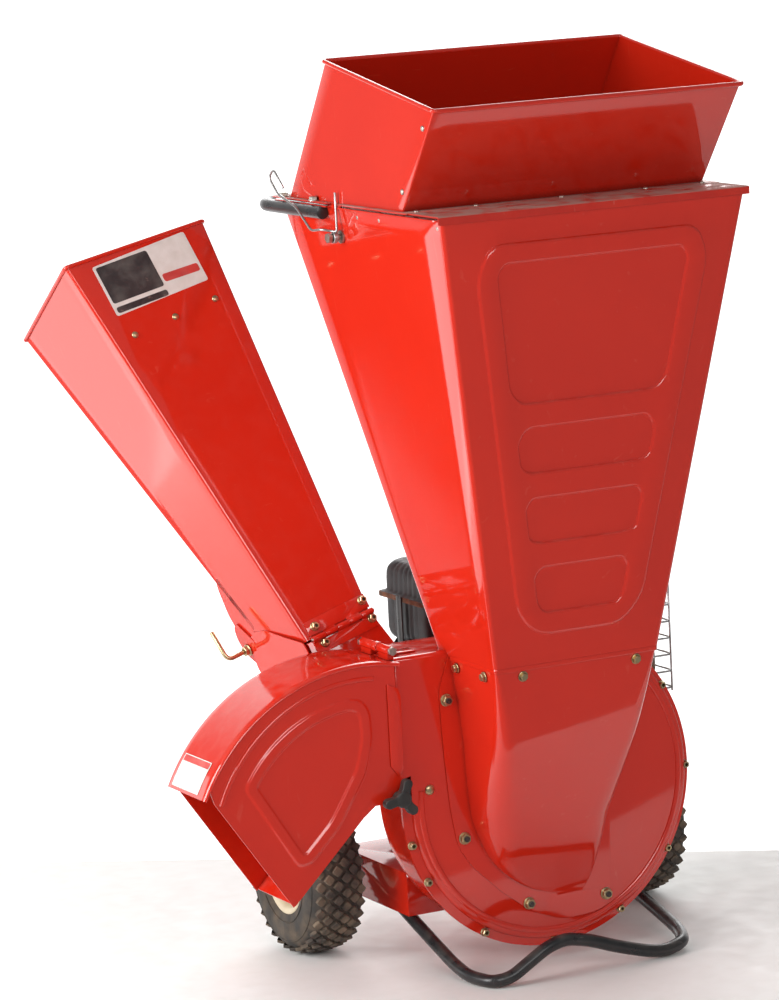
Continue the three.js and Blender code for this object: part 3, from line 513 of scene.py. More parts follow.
def refined(node, look, bevel, segments=2, angle=30):
    """A bevelled, smooth-shaded copy of a CAD node's own shape that stands for the node."""
    source = frame["nodes"][node]
    mesh = source.data.copy()
    mesh.name = node + "_finish"
    work = bmesh.new()
    work.from_mesh(mesh)
    bmesh.ops.remove_doubles(work, verts=work.verts, dist=0.00001)
    bmesh.ops.dissolve_limit(
        work, angle_limit=math.radians(1), verts=work.verts, edges=work.edges, delimit={"NORMAL"},
    )
    work.to_mesh(mesh)
    work.free()
    mesh.materials.clear()
    mesh.materials.append(look)
    piece = bpy.data.objects.new(node + "_finish", mesh)
    bpy.context.scene.collection.objects.link(piece)
    round_edges(piece, bevel, segments, angle)
    finished(piece, angle)
    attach(piece, body_of(source)[0])
    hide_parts(node)
    return piece


# ------------------------------------------------------------------ fasteners
def hexagon(builder, point, axis, across, steps, turn=0.0):
    """A hexagon head; steps are its (height, scale) up the axis."""
    axis = Vector(axis).normalized()
    side = Quaternion(axis, turn) @ axis.orthogonal().normalized()
    other = axis.cross(side)
    spokes = [(side * x + other * z) * across / math.sqrt(3) for x, z in circle(0, 0, 1, 6)]
    point = Vector(point)
    builder.loops([[point + axis * height + spoke * scale for spoke in spokes] for height, scale in steps])


def flange_nut(builder, point, axis, across=13.0, turn=0.3):
    """A hexagon nut on its washer flange, with a chamfered crown."""
    flange = across * 0.66
    builder.turned(
        [(0, 0), (flange, 0), (flange, 0.9), (flange * 0.86, 1.9), (0, 2.0)], point, axis, 28,
    )
    crown = ((1.6, 0.97), (1.8, 1.0), (6.2, 1.0), (7.4, 0.84), (7.4, 0.5))
    hexagon(builder, point, axis, across, crown, turn)


def screw_end(builder, point, axis, radius=3.8, start=6.8, length=1.9):
    end = start + length
    profile = [(radius, start - 1), (radius, end - 0.5), (radius - 0.7, end), (0, end)]
    builder.turned(profile, point, axis, 16)


def dome_head(builder, point, axis, radius, height):
    dome = [math.radians(a) for a in (20, 40, 60, 78, 90)]
    profile = [(0, 0), (radius, 0), (radius, 0.4)]
    profile += [(radius * math.cos(a), 0.4 + height * math.sin(a)) for a in dome]
    builder.turned(profile, point, axis, 20)


def hex_bolt(builder, point, axis, across=11.0, height=5.0, washer=0.0):
    if washer:
        builder.turned([(0, 0), (washer, 0), (washer, 1.2), (washer * 0.94, 1.5), (0, 1.5)], point, axis, 24)
    low = 1.4 if washer else 0
    steps = ((low, 1.0), (low + height * 0.8, 1.0), (low + height, 0.86), (low + height, 0.01))
    hexagon(builder, point, axis, across, steps)


# ------------------------------------------------------------------ outlines and pressed sheet
def shifted_outline(outline, inset):
    """Moves every edge of a closed outline inwards by inset and joins them again."""
    area = sum(a[0] * b[1] - b[0] * a[1] for a, b in zip(outline, outline[1:] + outline[:1]))
    turn = 1 if area > 0 else -1
    moved = []
    for before, here, after in zip(outline[-1:] + outline[:-1], outline, outline[1:] + outline[:1]):
        one = Vector((here[0] - before[0], here[1] - before[1])).normalized()
        two = Vector((after[0] - here[0], after[1] - here[1])).normalized()
        normal_one = Vector((-one.y, one.x)) * turn
        normal_two = Vector((-two.y, two.x)) * turn
        middle = normal_one + normal_two
        middle = middle / max(middle.length_squared, 0.4) * 2
        moved.append((here[0] + middle.x * inset, here[1] + middle.y * inset))
    return moved


def rounded_outline(outline, radius, steps=5):
    """Rounds every corner of a closed outline; always steps + 1 points for each corner."""
    points = []
    for before, here, after in zip(outline[-1:] + outline[:-1], outline, outline[1:] + outline[:1]):
        here, before, after = Vector(here), Vector(before), Vector(after)
        cut = min(radius, (before - here).length * 0.45, (after - here).length * 0.45)
        enter = here + (before - here).normalized() * cut
        leave = here + (after - here).normalized() * cut
        for i in range(steps + 1):
            t = i / steps
            point = enter * (1 - t) ** 2 + here * 2 * t * (1 - t) + leave * t * t
            points.append((point.x, point.y))
    return points


def filled(outer, holes, lift):
    """Triangles that fill a flat outline around its holes; lift(x, z) gives each 3-D point."""
    flat = bmesh.new()
    edges = []
    for loop in [outer] + list(holes):
        corners = [flat.verts.new((p[0], p[1], 0)) for p in loop]
        edges += [flat.edges.new((a, b)) for a, b in zip(corners, corners[1:] + corners[:1])]
    bmesh.ops.triangle_fill(flat, use_beauty=True, use_dissolve=False, edges=edges)
    flat.verts.index_update()
    points = [lift(v.co.x, v.co.y) for v in flat.verts]
    faces = [tuple(v.index for v in face.verts) for face in flat.faces]
    flat.free()
    return points, faces


STEP_PROFILE = [(0, 0), (0.18, 0.05), (0.38, 0.28), (0.62, 0.72), (0.82, 0.95), (1, 1)]


def pressing(outline, radius, start, end, width):
    """Loops of a smooth step from height start to end, going inwards from an outline."""
    return [
        ([p for p in rounded_outline(shifted_outline(outline, width * t), radius)], start + (end - start) * h)
        for t, h in STEP_PROFILE
    ]


def add_pressing(builder, loops, lift):
    builder.loops([[lift(x, z, height) for x, z in loop] for loop, height in loops])


def ring_stations(half, front, back, radius, left, front_count=24, right_count=10, back_count=10):
    """A rounded rectangle seen from above, from back left round the front to the back right.

    left holds the fractions (0 at the front, 1 at the back) of the points on its left side.
    """
    points = []

    def corner(cx, cy, start):
        for i in range(5):
            a = math.radians(start + 22.5 * i)
            points.append((cx + radius * math.cos(a), cy + radius * math.sin(a), math.cos(a), math.sin(a)))

    low, high = front + radius, back - radius
    corner(-half + radius, high, 90)
    for f in reversed(left):
        points.append((-half, low + (high - low) * f, -1, 0))
    corner(-half + radius, low, 180)
    for i in range(1, front_count):
        points.append((-half + radius + (2 * half - 2 * radius) * i / front_count, front, 0, -1))
    corner(half - radius, low, 270)
    for i in range(1, right_count):
        points.append((half, low + (high - low) * i / right_count, 1, 0))
    corner(half - radius, high, 0)
    for i in range(1, back_count):
        points.append((half - radius - (2 * half - 2 * radius) * i / back_count, back, 0, 1))
    return points


NOTCH_X = -235.5
NOTCH_Y = (44, 78)
FLANGE_R = 5


def notched_left(front, back):
    low, high = front + FLANGE_R, back - FLANGE_R
    notch = [(y - low) / (high - low) for y in (NOTCH_Y[0], NOTCH_Y[0] + 0.2, NOTCH_Y[1] - 0.2, NOTCH_Y[1])]
    return sorted([0.12, 0.25, 0.4, 0.5] + notch + [0.8, 0.9]), notch


# ------------------------------------------------------------------ lower hopper
def hopper_at(z):
    t = (z - HOPPER_LOW_Z) / (HOPPER_TOP_Z - HOPPER_LOW_Z)
    return {key: HOPPER_LOW[key] + (HOPPER_TOP[key] - HOPPER_LOW[key]) * t for key in HOPPER_LOW}


left_fractions, notch_fractions = notched_left(HOPPER_TOP["front"], HOPPER_TOP["back"])
lower = Builder()
rows = 26
front_start = 5 + len(left_fractions) + 5
front_skip = range(front_start - 1, front_start + 23)


def hopper_ring(z):
    size = hopper_at(z)
    stations = ring_stations(size["half"], size["front"], size["back"], FLANGE_R, left_fractions)
    return [(x, y, z) for x, y, _, _ in stations]


wall_height = HOPPER_TOP_Z - 4 - HOPPER_LOW_Z
wall_rings = [hopper_ring(HOPPER_LOW_Z + wall_height * i / rows) for i in range(rows + 1)]
lower.loops(wall_rings, skip=front_skip)
top_ring = wall_rings[-1]
bend = []
ring = ring_stations(HOPPER_TOP["half"], HOPPER_TOP["front"], HOPPER_TOP["back"], FLANGE_R, left_fractions)
for grow, z in ((0.6, HOPPER_TOP_Z - 2.6), (2.2, HOPPER_TOP_Z - 2)):
    bend.append([(x + nx * grow, y + max(ny, 0) * grow, z) for x, y, nx, ny in ring])
flange_stations = ring_stations(FLANGE_HALF, HOPPER_TOP["front"], FLANGE_BACK, 8, left_fractions)
edge = [[x, y, HOPPER_TOP_Z - 2] for x, y, _, _ in flange_stations]
low_y, high_y = HOPPER_TOP["front"] + FLANGE_R, HOPPER_TOP["back"] - FLANGE_R
for i, f in enumerate(reversed(left_fractions)):
    edge[5 + i][1] = low_y + (high_y - low_y) * f
    if f in notch_fractions[1:3]:
        edge[5 + i][0] = NOTCH_X
lower.loops([top_ring] + bend + [edge])


def on_front(x, z, raised=0.0):
    """A point of the hopper's front wall, pushed out by raised."""
    size = hopper_at(z)
    return (x, size["front"] - raised, z)


wall_z = [ring[front_start][2] for ring in wall_rings]


def front_edge(z, side):
    return side * (hopper_at(z)["half"] - FLANGE_R)


frame_outline = [
    (161, 1057), (-161, 1057), (-180, 1013), (-100, 540), (-67, 503), (67, 503), (100, 540), (180, 1013),
]
panels = [
    [(139, 1033), (-139, 1033), (-151, 1015), (-125, 850), (-105, 830), (105, 830), (125, 850), (151, 1015)],
    [(97, 803), (-97, 803), (-111, 780), (-104, 742), (-88, 732), (88, 732), (104, 742), (111, 780)],
    [(84, 703), (-84, 703), (-95, 687), (-87, 638), (-68, 632), (68, 632), (87, 638), (95, 687)],
    [(65, 604), (-65, 604), (-78, 588), (-70, 545), (-58, 532), (58, 532), (70, 545), (78, 588)],
]
EMBOSS = 3.8
frame_loops = pressing(frame_outline, 26, 0, EMBOSS, 4.6)
panel_loops = [pressing(panel, 16, EMBOSS, 0, 4.2) for panel in panels]
top_z = wall_rings[-1][0][2]
border = [(front_edge(z, -1), z) for z in wall_z]
border += [(front_edge(top_z, -1) * (1 - 2 * i / 24), top_z) for i in range(1, 24)]
border += [(front_edge(z, 1), z) for z in reversed(wall_z)]
border += [(front_edge(HOPPER_LOW_Z, 1) * (1 - 2 * i / 24), HOPPER_LOW_Z) for i in range(1, 24)]
lower.add(*filled(border, [frame_loops[0][0]], on_front))
add_pressing(lower, frame_loops, on_front)
panel_holes = [loops[0][0] for loops in panel_loops]
lower.add(*filled(frame_loops[-1][0], panel_holes, lambda x, z: on_front(x, z, EMBOSS)))
for loops in panel_loops:
    add_pressing(lower, loops, on_front)
    lower.add(*filled(loops[-1][0], [], on_front))
lower.made("lower_hopper_shell", RED, "chassis", ["lower_hopper"], weld=0.05, wall=SHEET, crease=38)

SKIRT_INSET = 3.9
inner = Builder()
skirt_rings = []
for z in (438, 466):
    size = hopper_at(z)
    left, front = -size["half"] + SKIRT_INSET, size["front"] + SKIRT_INSET
    skirt_rings.append([(left, -3.5, z), (left, front, z), (-left, front, z), (-left, -3.5, z)])
inner.loops(skirt_rings, closed=False)
inner.made("hopper_skirt", RED_WORN, "chassis", wall=SHEET)
floor_strip = Builder()
floor_strip.block((-127, -1, 462.9), (127, 31, 464.9))
floor_strip.made("hopper_floor", RED_WORN, "chassis")

# ------------------------------------------------------------------ upper hopper, shelf
HEM = 3.4


def hemmed_wall(builder, stations_low, stations_high, rows, thick=2.0, hem=HEM, hem_shift=1.4):
    """Walls between two rings of (point, outward normal), with a rolled hem at the far end."""
    columns = []
    for (low, out_low), (high, out_high) in zip(stations_low, stations_high):
        low, high = Vector(low), Vector(high)
        along = (high - low).normalized()
        length = (high - low).length
        profile = [(0, length * i / rows) for i in range(rows)] + [(0, length - 2 * hem)]
        for a in range(-90, 181, 30):
            profile.append((
                hem_shift + hem * math.cos(math.radians(a)), length - hem + hem * math.sin(math.radians(a)),
            ))
        profile.append((-thick, length - hem - 1))
        profile += [(-thick, length * (rows - 1 - i) / rows) for i in range(rows)]
        column = []
        for side, rise in profile:
            t = rise / length
            out = Vector(out_low) * (1 - t) + Vector(out_high) * t
            out = (out - along * out.dot(along)).normalized()
            column.append(low + along * rise + out * side)
        columns.append(column)
    rings = [list(ring) for ring in zip(*columns)]
    builder.loops(rings + [rings[0]])


upper_left = [0.1, 0.2, 0.3, 0.4, 0.5, 0.6, 0.7, 0.8, 0.9]
base = ring_stations(234.1, -131.9, 211.9, 3, upper_left, 20, 10, 20)


def upper_top(x, y):
    """The same station on the sloping mouth."""
    front, back, low_half, high_half = -242.2, 74.9, 236.4, 234.4
    share = (y + 131.9) / (211.9 + 131.9)
    half = low_half + (high_half - low_half) * share
    return (x / 234.1 * half, front + (back - front) * share, 1243.5 + (1297.9 - 1243.5) * share)


upper = Builder()
low_stations = [((x, y, UPPER_Z - 1.6), (nx, ny, 0)) for x, y, nx, ny in base]
high_stations = [(upper_top(x, y), (nx, ny, 0)) for x, y, nx, ny in base]
hemmed_wall(upper, low_stations, high_stations, 12)
upper.made("upper_hopper_walls", RED, "chassis", ["upper_hopper"], crease=40)

flange = Builder()
flange_outer = [
    (-FLANGE_HALF, -159.7), (FLANGE_HALF, -159.7), (FLANGE_HALF, FLANGE_BACK), (-FLANGE_HALF, FLANGE_BACK),
    (-FLANGE_HALF, NOTCH_Y[1]), (NOTCH_X, NOTCH_Y[1]), (NOTCH_X, NOTCH_Y[0]), (-FLANGE_HALF, NOTCH_Y[0]),
]
flange_hole = [(-232.2, -124), (232.2, -124), (232.2, 210), (-232.2, 210)]
flange.add(*filled(flange_outer, [flange_hole], lambda x, y: (x, y, UPPER_Z - 1.9)))
flange.made("upper_hopper_flange", RED_WORN, "chassis", wall=-SHEET, edges=(0.5,))

LEDGE_Z = 1101.3
shelf = Builder()
shelf_profile = [
    (-160, LEDGE_Z), (-170, LEDGE_Z), (-242.6, LEDGE_Z), (-244, 1100.9), (-244.8, 1100), (-245, 1098.6),
    (-245, 1090.4),
]
shelf.grid(lambda u, v: (-240 + 480 * u, *shelf_profile[round(v * 6)]), 24, 6)
shelf.made("front_shelf", RED_WORN, "chassis", ["hopper_shelf"], wall=SHEET)

hardware = Builder()
for x in (-222, -132, 0, 132, 222):
    dome_head(hardware, (x, -150, LEDGE_Z), UP, 4.2, 2.2)
for x in (-236, 236):
    dome_head(hardware, (x, 225, LEDGE_Z), UP, 4.2, 2.2)
for y, z in ((-228, 1085), (-60, 1085), (5, 1085)):
    half = hopper_at(z)["half"]
    dome_head(hardware, (-half, y, z), (-1, 0, -0.16), 4.2, 2.2)
    dome_head(hardware, (half, y, z), (1, 0, -0.16), 4.2, 2.2)
for z in (786, 624):
    size = hopper_at(z)
    dome_head(hardware, (-size["half"], size["back"] - 8, z), (-1, 0, -0.16), 3.6, 1.6)
hardware.made("hopper_rivets", ZINC, "chassis")

bolts = Builder()
for x in (-239.5, 239.5):
    for y in (124, 219):
        hex_bolt(bolts, (x, y, 1101.4), UP, 11, 4.6, 7.6)
for x in (-234.6, 234.6):
    side = math.copysign(1, x)
    dome_head(bolts, (x, -136, 1128), (side, 0, 0), 4, 2)
    dome_head(bolts, (x + side * 1.2, -206, 1216), (side, 0, 0), 4, 2)
bolts.made("hopper_bolts", ZINC, "chassis")

# ------------------------------------------------------------------ handle and wire latch
HANDLE_X = 242.2
handle = Builder()
handle_path = rounded_path(
    [(s * HANDLE_X, y, 1087) for s, y in ((-1, 92), (-1, 300), (1, 300), (1, 92))], 42, 12,
)
tube(handle, handle_path, 9.3, 24, 0.8)
handle.made("handle_tube", BLACK, "chassis", ["pull_handle"], crease=50)

latch = Builder()
latch_points = [
    (-239, 58, 1116), (-239, 57.5, 1062), (-243, 66, 1063), (-255.4, 74, 1066), (-255.6, 104, 1062),
    (-255.6, 150, 1093), (-255.6, 203, 1107), (-255.6, 230, 1129), (-255.6, 214, 1142), (-255.6, 186, 1117),
]
tube(latch, rounded_path(latch_points, 9, 6), 1.7, 12, 0.4)
turn_points = circle(64, 1054, 6.6, 20)
coil = [(-237.6 - 5.4 * i / 60, *turn_points[i % 20]) for i in range(61)]
tube(latch, coil, 1.5, 10, 0.3)
latch.made("latch_wire", STEEL, "latch_wire", ["wire_latch"], crease=50)
spindle = Builder()
spindle.turned([(0, 0), (9, 0), (9, 2.6), (4, 3), (4, 20)], (-228.9, 64, 1054), TO_LEFT, 24)
hex_bolt(spindle, (-246.6, 64, 1054), TO_LEFT, 12.5, 5.6)
spindle.made("latch_spindle", ZINC, "chassis", ["latch_bolt"], slot="steel")

# ------------------------------------------------------------------ front cover
# Height, left edge, right edge and front of the bulge, from its top to its tip.
COVER_STEPS = [
    (462.2, -128.8, 128.8, -134.4), (400, -121.5, 121.5, -124), (340, -115, 115, -109),
    (280, -112.5, 108, -86), (225, -107, 101, -64), (175, -88, 93, -40), (140, -62, 86, -21),
    (112, -22, 77, -7), (96, 24, 66, -3),
]
COVER_BACK = -2.2


def cover_levels(steps=6):
    lefts = smooth_path([(left, front, z) for z, left, _, front in COVER_STEPS], steps)
    rights = smooth_path([(right, front, z) for z, _, right, front in COVER_STEPS], steps)
    return [(left.z, left.x, right.x, left.y) for left, right in zip(lefts, rights)]


def cover_ring(z, left, right, front):
    share = (COVER_STEPS[0][0] - z) / (COVER_STEPS[0][0] - COVER_STEPS[-1][0])
    reach = abs(front - COVER_BACK)
    radius = min(5 + 70 * share, reach * 0.9, (right - left) * 0.4)
    outline = [(left, COVER_BACK), (left, front), (right, front), (right, COVER_BACK)]
    points = [Vector((left, COVER_BACK))]
    for corner, before, after in ((outline[1], outline[0], outline[2]), (outline[2], outline[1], outline[3])):
        corner, before, after = Vector(corner), Vector(before), Vector(after)
        enter = corner + (before - corner).normalized() * radius
        leave = corner + (after - corner).normalized() * radius
        for i in range(9):
            t = i / 8
            points.append(enter * (1 - t) ** 2 + corner * 2 * t * (1 - t) + leave * t * t)
    points.append(Vector((right, COVER_BACK)))
    return [(p.x, p.y, z) for p in points]


cover = Builder()
rings = [cover_ring(*level) for level in cover_levels()]
lip = Builder()
lip.loops([
    [(x * (1 + proud / 130), y - proud, z) for x, y, _ in rings[0]]
    for proud, z in ((0.1, 455), (0.9, 457), (1.1, 462.4), (0.2, 463.4))
], closed=False)
lip.made("cover_top_lip", RED, "chassis", crease=60)
rings.append([(x, COVER_BACK, z - 3) for x, _, z in rings[-1]])
cover.loops(rings, closed=False)
left_side = [(ring[0][0], ring[0][2]) for ring in rings]
right_side = [(ring[-1][0], ring[-1][2]) for ring in rings]
bottom_row = [(p[0], p[2]) for p in rings[-1][1:-1]]
flange_outline = [
    (-131, 460), (-149, 416), (-146, 331), (-140, 246), (-131, 190), (-110, 156), (-64, 112), (-17, 76),
    (28, 58), (71, 58), (104, 64), (112, 90), (114, 166), (125, 300), (131, 460),
]
flange_edge = [(-131, 462.2)] + rounded_outline(flange_outline, 14)[6:-6] + [(131, 462.2)]
closed_region = flange_edge + right_side + list(reversed(bottom_row)) + list(reversed(left_side))
cover.add(*filled(closed_region, [], lambda x, z: (x, COVER_BACK, z)))
cover.made("cover_shell", RED, "chassis", ["front_cover"], weld=0.05, wall=1.9, crease=42)

# ------------------------------------------------------------------ impeller housing
def dish_outline(radius, cut, reach=0):
    """The housing's outline: a circle with the neck of the outlet.

    cut opens its top under the hopper, and reach widens the neck.
    """
    start = math.degrees(math.asin((CUT_Z - CRANK_Z) / radius)) if cut else 104
    left = 180 - math.degrees(math.asin((NECK["low"] - CRANK_Z) / radius))
    shrink = DISH_R - radius
    neck_left = NECK["left"] - reach + shrink
    points = arc_points(DISH_X, CRANK_Z, radius, start, left - 360, 84)
    points += [(neck_left, NECK["low"]), (neck_left, NECK["high"] - shrink)]
    if cut:
        points += [(-131, NECK["high"] - shrink), (-131, CUT_Z)]
    return points


def housing_ring(inset, y, cut, reach=0):
    return [(x, y, z) for x, z in dish_outline(DISH_R - inset, cut, reach)]


NECK_REACH = 17
feed_hole = [(-100, 452), (-96, 300), (-60, 217), (58, 217), (82, 300), (98, 452)]
front_half = Builder()
front_half.loops([
    housing_ring(inset, y, True, NECK_REACH)
    for inset, y in ((0, 8), (0, 6), (0.5, 3.6), (1.8, 1.6), (3.6, 0.4), (5.6, 0))
])
plate = dish_outline(DISH_R - 5.6, True, NECK_REACH)
front_half.add(*filled(plate, [rounded_outline(feed_hole, 10)], lambda x, z: (x, 0, z)))
front_half.made(
    "housing_front_shell", RED, "chassis", ["housing_front"], weld=0.05, wall=SHEET, crease=40,
)

BEAD_R, BEAD_RISE, BEAD_HALF = 209, 2.6, 4.6
trim = Builder()
bead_rings = []
for i in range(109):
    a = math.radians(66 - 252 * i / 108)
    ring = []
    for k in range(9):
        b = math.pi * k / 8
        r = BEAD_R + BEAD_HALF * math.cos(b)
        ring.append((DISH_X + r * math.cos(a), 0.2 - BEAD_RISE * math.sin(b), CRANK_Z + r * math.sin(a)))
    bead_rings.append(ring)
trim.loops(bead_rings, closed=False)
trim.made("housing_bead", RED, "chassis", crease=50)


def rim_ring(y0, y1, name):
    rim = Builder()
    start, end = 62, -180.9
    rings = []
    for outer, y in ((False, y0), (True, y0), (True, y1), (False, y1)):
        ring = []
        for i in range(97):
            a = math.radians(start + (end - start) * i / 96)
            if outer:
                ring.append((CRANK_X + RIM_R * math.cos(a), y, CRANK_Z + RIM_R * math.sin(a)))
            else:
                ring.append((DISH_X + (DISH_R - 1) * math.cos(a), y, CRANK_Z + (DISH_R - 1) * math.sin(a)))
        rings.append(ring)
    rings.append(rings[0])
    rim.loops(rings, closed=False)
    rim.made(name, RED, "chassis", crease=30)


rim_ring(6, 8, "housing_rim_front")
rim_ring(8.3, 10.3, "housing_rim_rear")

ear = Builder()
ear.add(*filled([
    (-198, 262), (-240, 262), (-244, 268), (-244, 272.2), (-230, 272.2), (-224.5, 274), (-224.5, 280),
    (-230, 282), (-244, 286.6), (-236, 294), (-198, 300),
], [], lambda x, z: (x, 0, z)))
ear.made("knob_ear", RED, "chassis", wall=SHEET, edges=(0.4,))

rear_half = Builder()
rear_half.loops([housing_ring(0, y, True) for y in (8.3, 20, 31.5)])
rear_half.loops([
    housing_ring(inset, y, False) for inset, y in (
        (0, 31.5), (0, 60), (0, 90), (0, 104), (0.7, 106.6), (2.2, 108.8), (4.4, 109.8), (6, 110),
    )
])
back_plate = dish_outline(DISH_R - 6, False)
bearing = circle(CRANK_X, CRANK_Z, 16, 24)
rear_half.add(*filled(back_plate, [bearing], lambda x, z: (x, 110, z)))
rear_half.made(
    "housing_rear_shell", RED, "chassis", ["housing_rear"], weld=0.05, wall=SHEET, crease=40,
)
step_wall = Builder()
arc_top = arc_points(DISH_X, CRANK_Z, DISH_R - 0.5, 69.5, 104, 14)
step_outline = arc_top + [(-28.7, 469), (-131, 469), (-131, CUT_Z - 0.5)]
step_wall.add(*filled(step_outline, [], lambda x, z: (x, 31.6, z)))
step_wall.made("housing_step", RED, "chassis", wall=1.6)

# ------------------------------------------------------------------ discharge chute
SIDE_LOWER = [(-506, 308), (-396, 146), (-282, 255), (-262, 270), (-214, 270)]


def band_arc(radius, start, end, steps=30):
    return arc_points(OUTLET[0], OUTLET[1], radius, start, end, steps)


def band_point(radius, angle, y):
    a = math.radians(angle)
    return (OUTLET[0] + radius * math.cos(a), y, OUTLET[1] + radius * math.sin(a))


shell = Builder()
shell_sections = [
    (-13.6, -6.4), (-15.2, -5.2), (-15.6, -3.9), (-14.9, -2.3), (-13.2, -1), (-10.6, -0.3), (-8, 0),
]
shell_sections += [(y, 0) for y in range(-4, 100, 12)]
shell_sections += [(101.6, 0), (103.6, -0.6), (104.7, -1.8), (105, -3.6)]
shell.loops([
    [(x, y, z) for x, z in band_arc(OUTLET_R + proud, 77, 154.6, 48)] for y, proud in shell_sections
], closed=False)
back_outline = band_arc(OUTLET_R - 3.6, 77, 152.6, 48) + SIDE_LOWER + [(-214, 300)]
shell.add(*filled(back_outline, [], lambda x, z: (x, 105, z)))
floor_line = [(-394.4, 148.8), (-282.6, 256), (-262.4, 271), (-222, 271)]
shell.loops([[(x, -12.7 + 117.7 * i / 6, z) for i in range(7)] for x, z in floor_line], closed=False)
shell.made(
    "discharge_chute_shell", RED, "deflector", ["discharge_shell"], weld=0.05, wall=1.9, crease=40,
)

KNOB = (-228, 277)
panel = Builder()
D_OUTLINE = arc_points(-280, 217, 212, 150, 94, 9) + [
    (-274, 423), (-262, 405), (-260, 366), (-272, 318), (-318, 246), (-364, 202), (-386, 199), (-400, 220),
]
panel_outline = band_arc(OUTLET_R - 2.4, 79, 151, 48) + SIDE_LOWER + [(-219, 306), (-222, 318), (-222, 446)]
d_loops = pressing(D_OUTLINE, 14, 0, 2.6, 6)
d_inner = pressing(shifted_outline(D_OUTLINE, 15), 12, 2.6, 0, 6)


def on_panel(x, z, raised=0.0):
    return (x, -13.2 - raised, z)


knob_hole = circle(*KNOB, 4.6, 20)
panel.add(*filled(panel_outline, [d_loops[0][0], knob_hole], on_panel))
add_pressing(panel, d_loops, on_panel)
panel.add(*filled(d_loops[-1][0], [d_inner[0][0]], lambda x, z: on_panel(x, z, 2.6)))
add_pressing(panel, d_inner, on_panel)
panel.add(*filled(d_inner[-1][0], [], on_panel))
ridge_rings = []
for i in range(41):
    a = math.radians(84 + 74 * i / 40)
    ring = []
    for k in range(7):
        b = math.pi * k / 6
        r = 233 + 3.4 * math.cos(b)
        ring.append(on_panel(-280 + r * math.cos(a), 217 + r * math.sin(a), 2.2 * math.sin(b)))
    ridge_rings.append(ring)
panel.loops(ridge_rings, closed=False)
panel.made("discharge_side", RED, "deflector", ["discharge_panel"], weld=0.05, wall=1.7, crease=40)

strip = Builder()
strip_outline = [(-236, 322), (-224, 305), (-217, 316), (-215.5, 418), (-219, 430), (-236, 438)]
strip.add(*filled(strip_outline, [], lambda x, z: (x, -15.6, z)))
strip.made("discharge_side_flange", RED, "deflector", wall=1.6, edges=(0.5,))
for name, look, proud, start, sweep, low_y, width, along in (
    ("band_label_light", LABEL_WHITE, 0.5, 143.6, 10, 8, 84, 10),
    ("band_label_red", LABEL_RED, 0.8, 143.9, 1.9, 10, 80, 4),
):
    label = Builder()
    label.loops([
        [band_point(OUTLET_R + proud, start + sweep * j / along, low_y + width * i / 2) for i in range(3)]
        for j in range(along + 1)
    ], closed=False)
    label.made(name, look, "deflector")
for node_name in ("knuckle_front", "knuckle_rear", "hinge_strap"):
    refined(node_name, RED, 0.8)
refined("hinge_bolt", ZINC, 0.4)

knob = Builder()


def on_knob(reach, angle, centre=KNOB):
    return (centre[0] + reach * math.cos(angle), centre[1] + reach * math.sin(angle))


for angle in (70, 190, 310):
    a = math.radians(angle)
    outline = [on_knob(9.4, a + math.pi / 2 + math.pi * k / 19) for k in range(20)]
    outline.append(on_knob(15, a - 0.42))
    outline += [on_knob(7, a - math.pi / 2 + math.pi * k / 11, on_knob(22, a)) for k in range(12)]
    outline.append(on_knob(15, a + 0.42))
    knob.prism(outline, -35.6, -23.4)
knob_profile = [(0, 0), (9, 0), (9, 8), (12, 10), (12, 20), (8, 21), (0, 21)]
knob.turned(knob_profile, (KNOB[0], -15.6, KNOB[1]), TO_FRONT, 24)
knob.turned([(0, 0), (3.8, 0), (3.8, 28), (0, 28)], (KNOB[0], 10, KNOB[1]), TO_FRONT, 16)
knob.made("star_knob_grip", PLASTIC, "deflector_knob", ["star_knob"], edges=(1.3, 3, 35), crease=40)

# ------------------------------------------------------------------ chipper chute
def chute_at(z):
    return CHUTE_HALF + z * CHUTE_FLARE, CHUTE_DEPTH + z * CHUTE_FLARE_BACK


def chute_stations(half, depth, steps=8):
    """A rounded rectangle, anticlockwise from the front left, with outward normals."""
    radius = 4
    points = []
    spans = [((-half, 0), (half, 0), (0, -1)), ((half, 0), (half, depth), (1, 0)),
             ((half, depth), (-half, depth), (0, 1)), ((-half, depth), (-half, 0), (-1, 0))]
    for (ax, ay), (bx, by), (nx, ny) in spans:
        length = math.hypot(bx - ax, by - ay)
        for i in range(steps + 1):
            t = (radius + (length - 2 * radius) * i / steps) / length
            points.append((ax + (bx - ax) * t, ay + (by - ay) * t, nx, ny))
        a0 = math.atan2(ny, nx)
        cx = bx - math.copysign(radius, bx)
        cy = by + radius if by < 1 else by - radius
        for i in range(1, 4):
            a = a0 + math.pi / 2 * i / 4
            points.append((cx + radius * math.cos(a), cy + radius * math.sin(a), math.cos(a), math.sin(a)))
    return points


def mouth_height(x, y):
    return CHUTE_LENGTH - 0.076 * 115.8 - 0.076 * x - 0.159 * y


chute = Builder()
half_low, depth_low = chute_at(2)
low_ring = chute_stations(half_low, depth_low)
high_ring = chute_stations(*chute_at(CHUTE_LENGTH))
ends = []
for (x0, y0, nx, ny), (x1, y1, _, _) in zip(low_ring, high_ring):
    z = mouth_height(x1, y1)
    t = (z - 2) / (CHUTE_LENGTH - 2)
    ends.append(((x0 + (x1 - x0) * t, y0 + (y1 - y0) * t, z), (nx, ny, 0)))
starts = [((x, y, 2), (nx, ny, 0)) for x, y, nx, ny in low_ring]
hemmed_wall(chute, starts, ends, 16, 2.0, 2.9, 0.9)
chute.made("chipper_chute_walls", RED, "chipper_chute", ["upper_chute"], chute_frame, crease=40)


def left_wall(z):
    return -(CHUTE_HALF + z * CHUTE_FLARE)


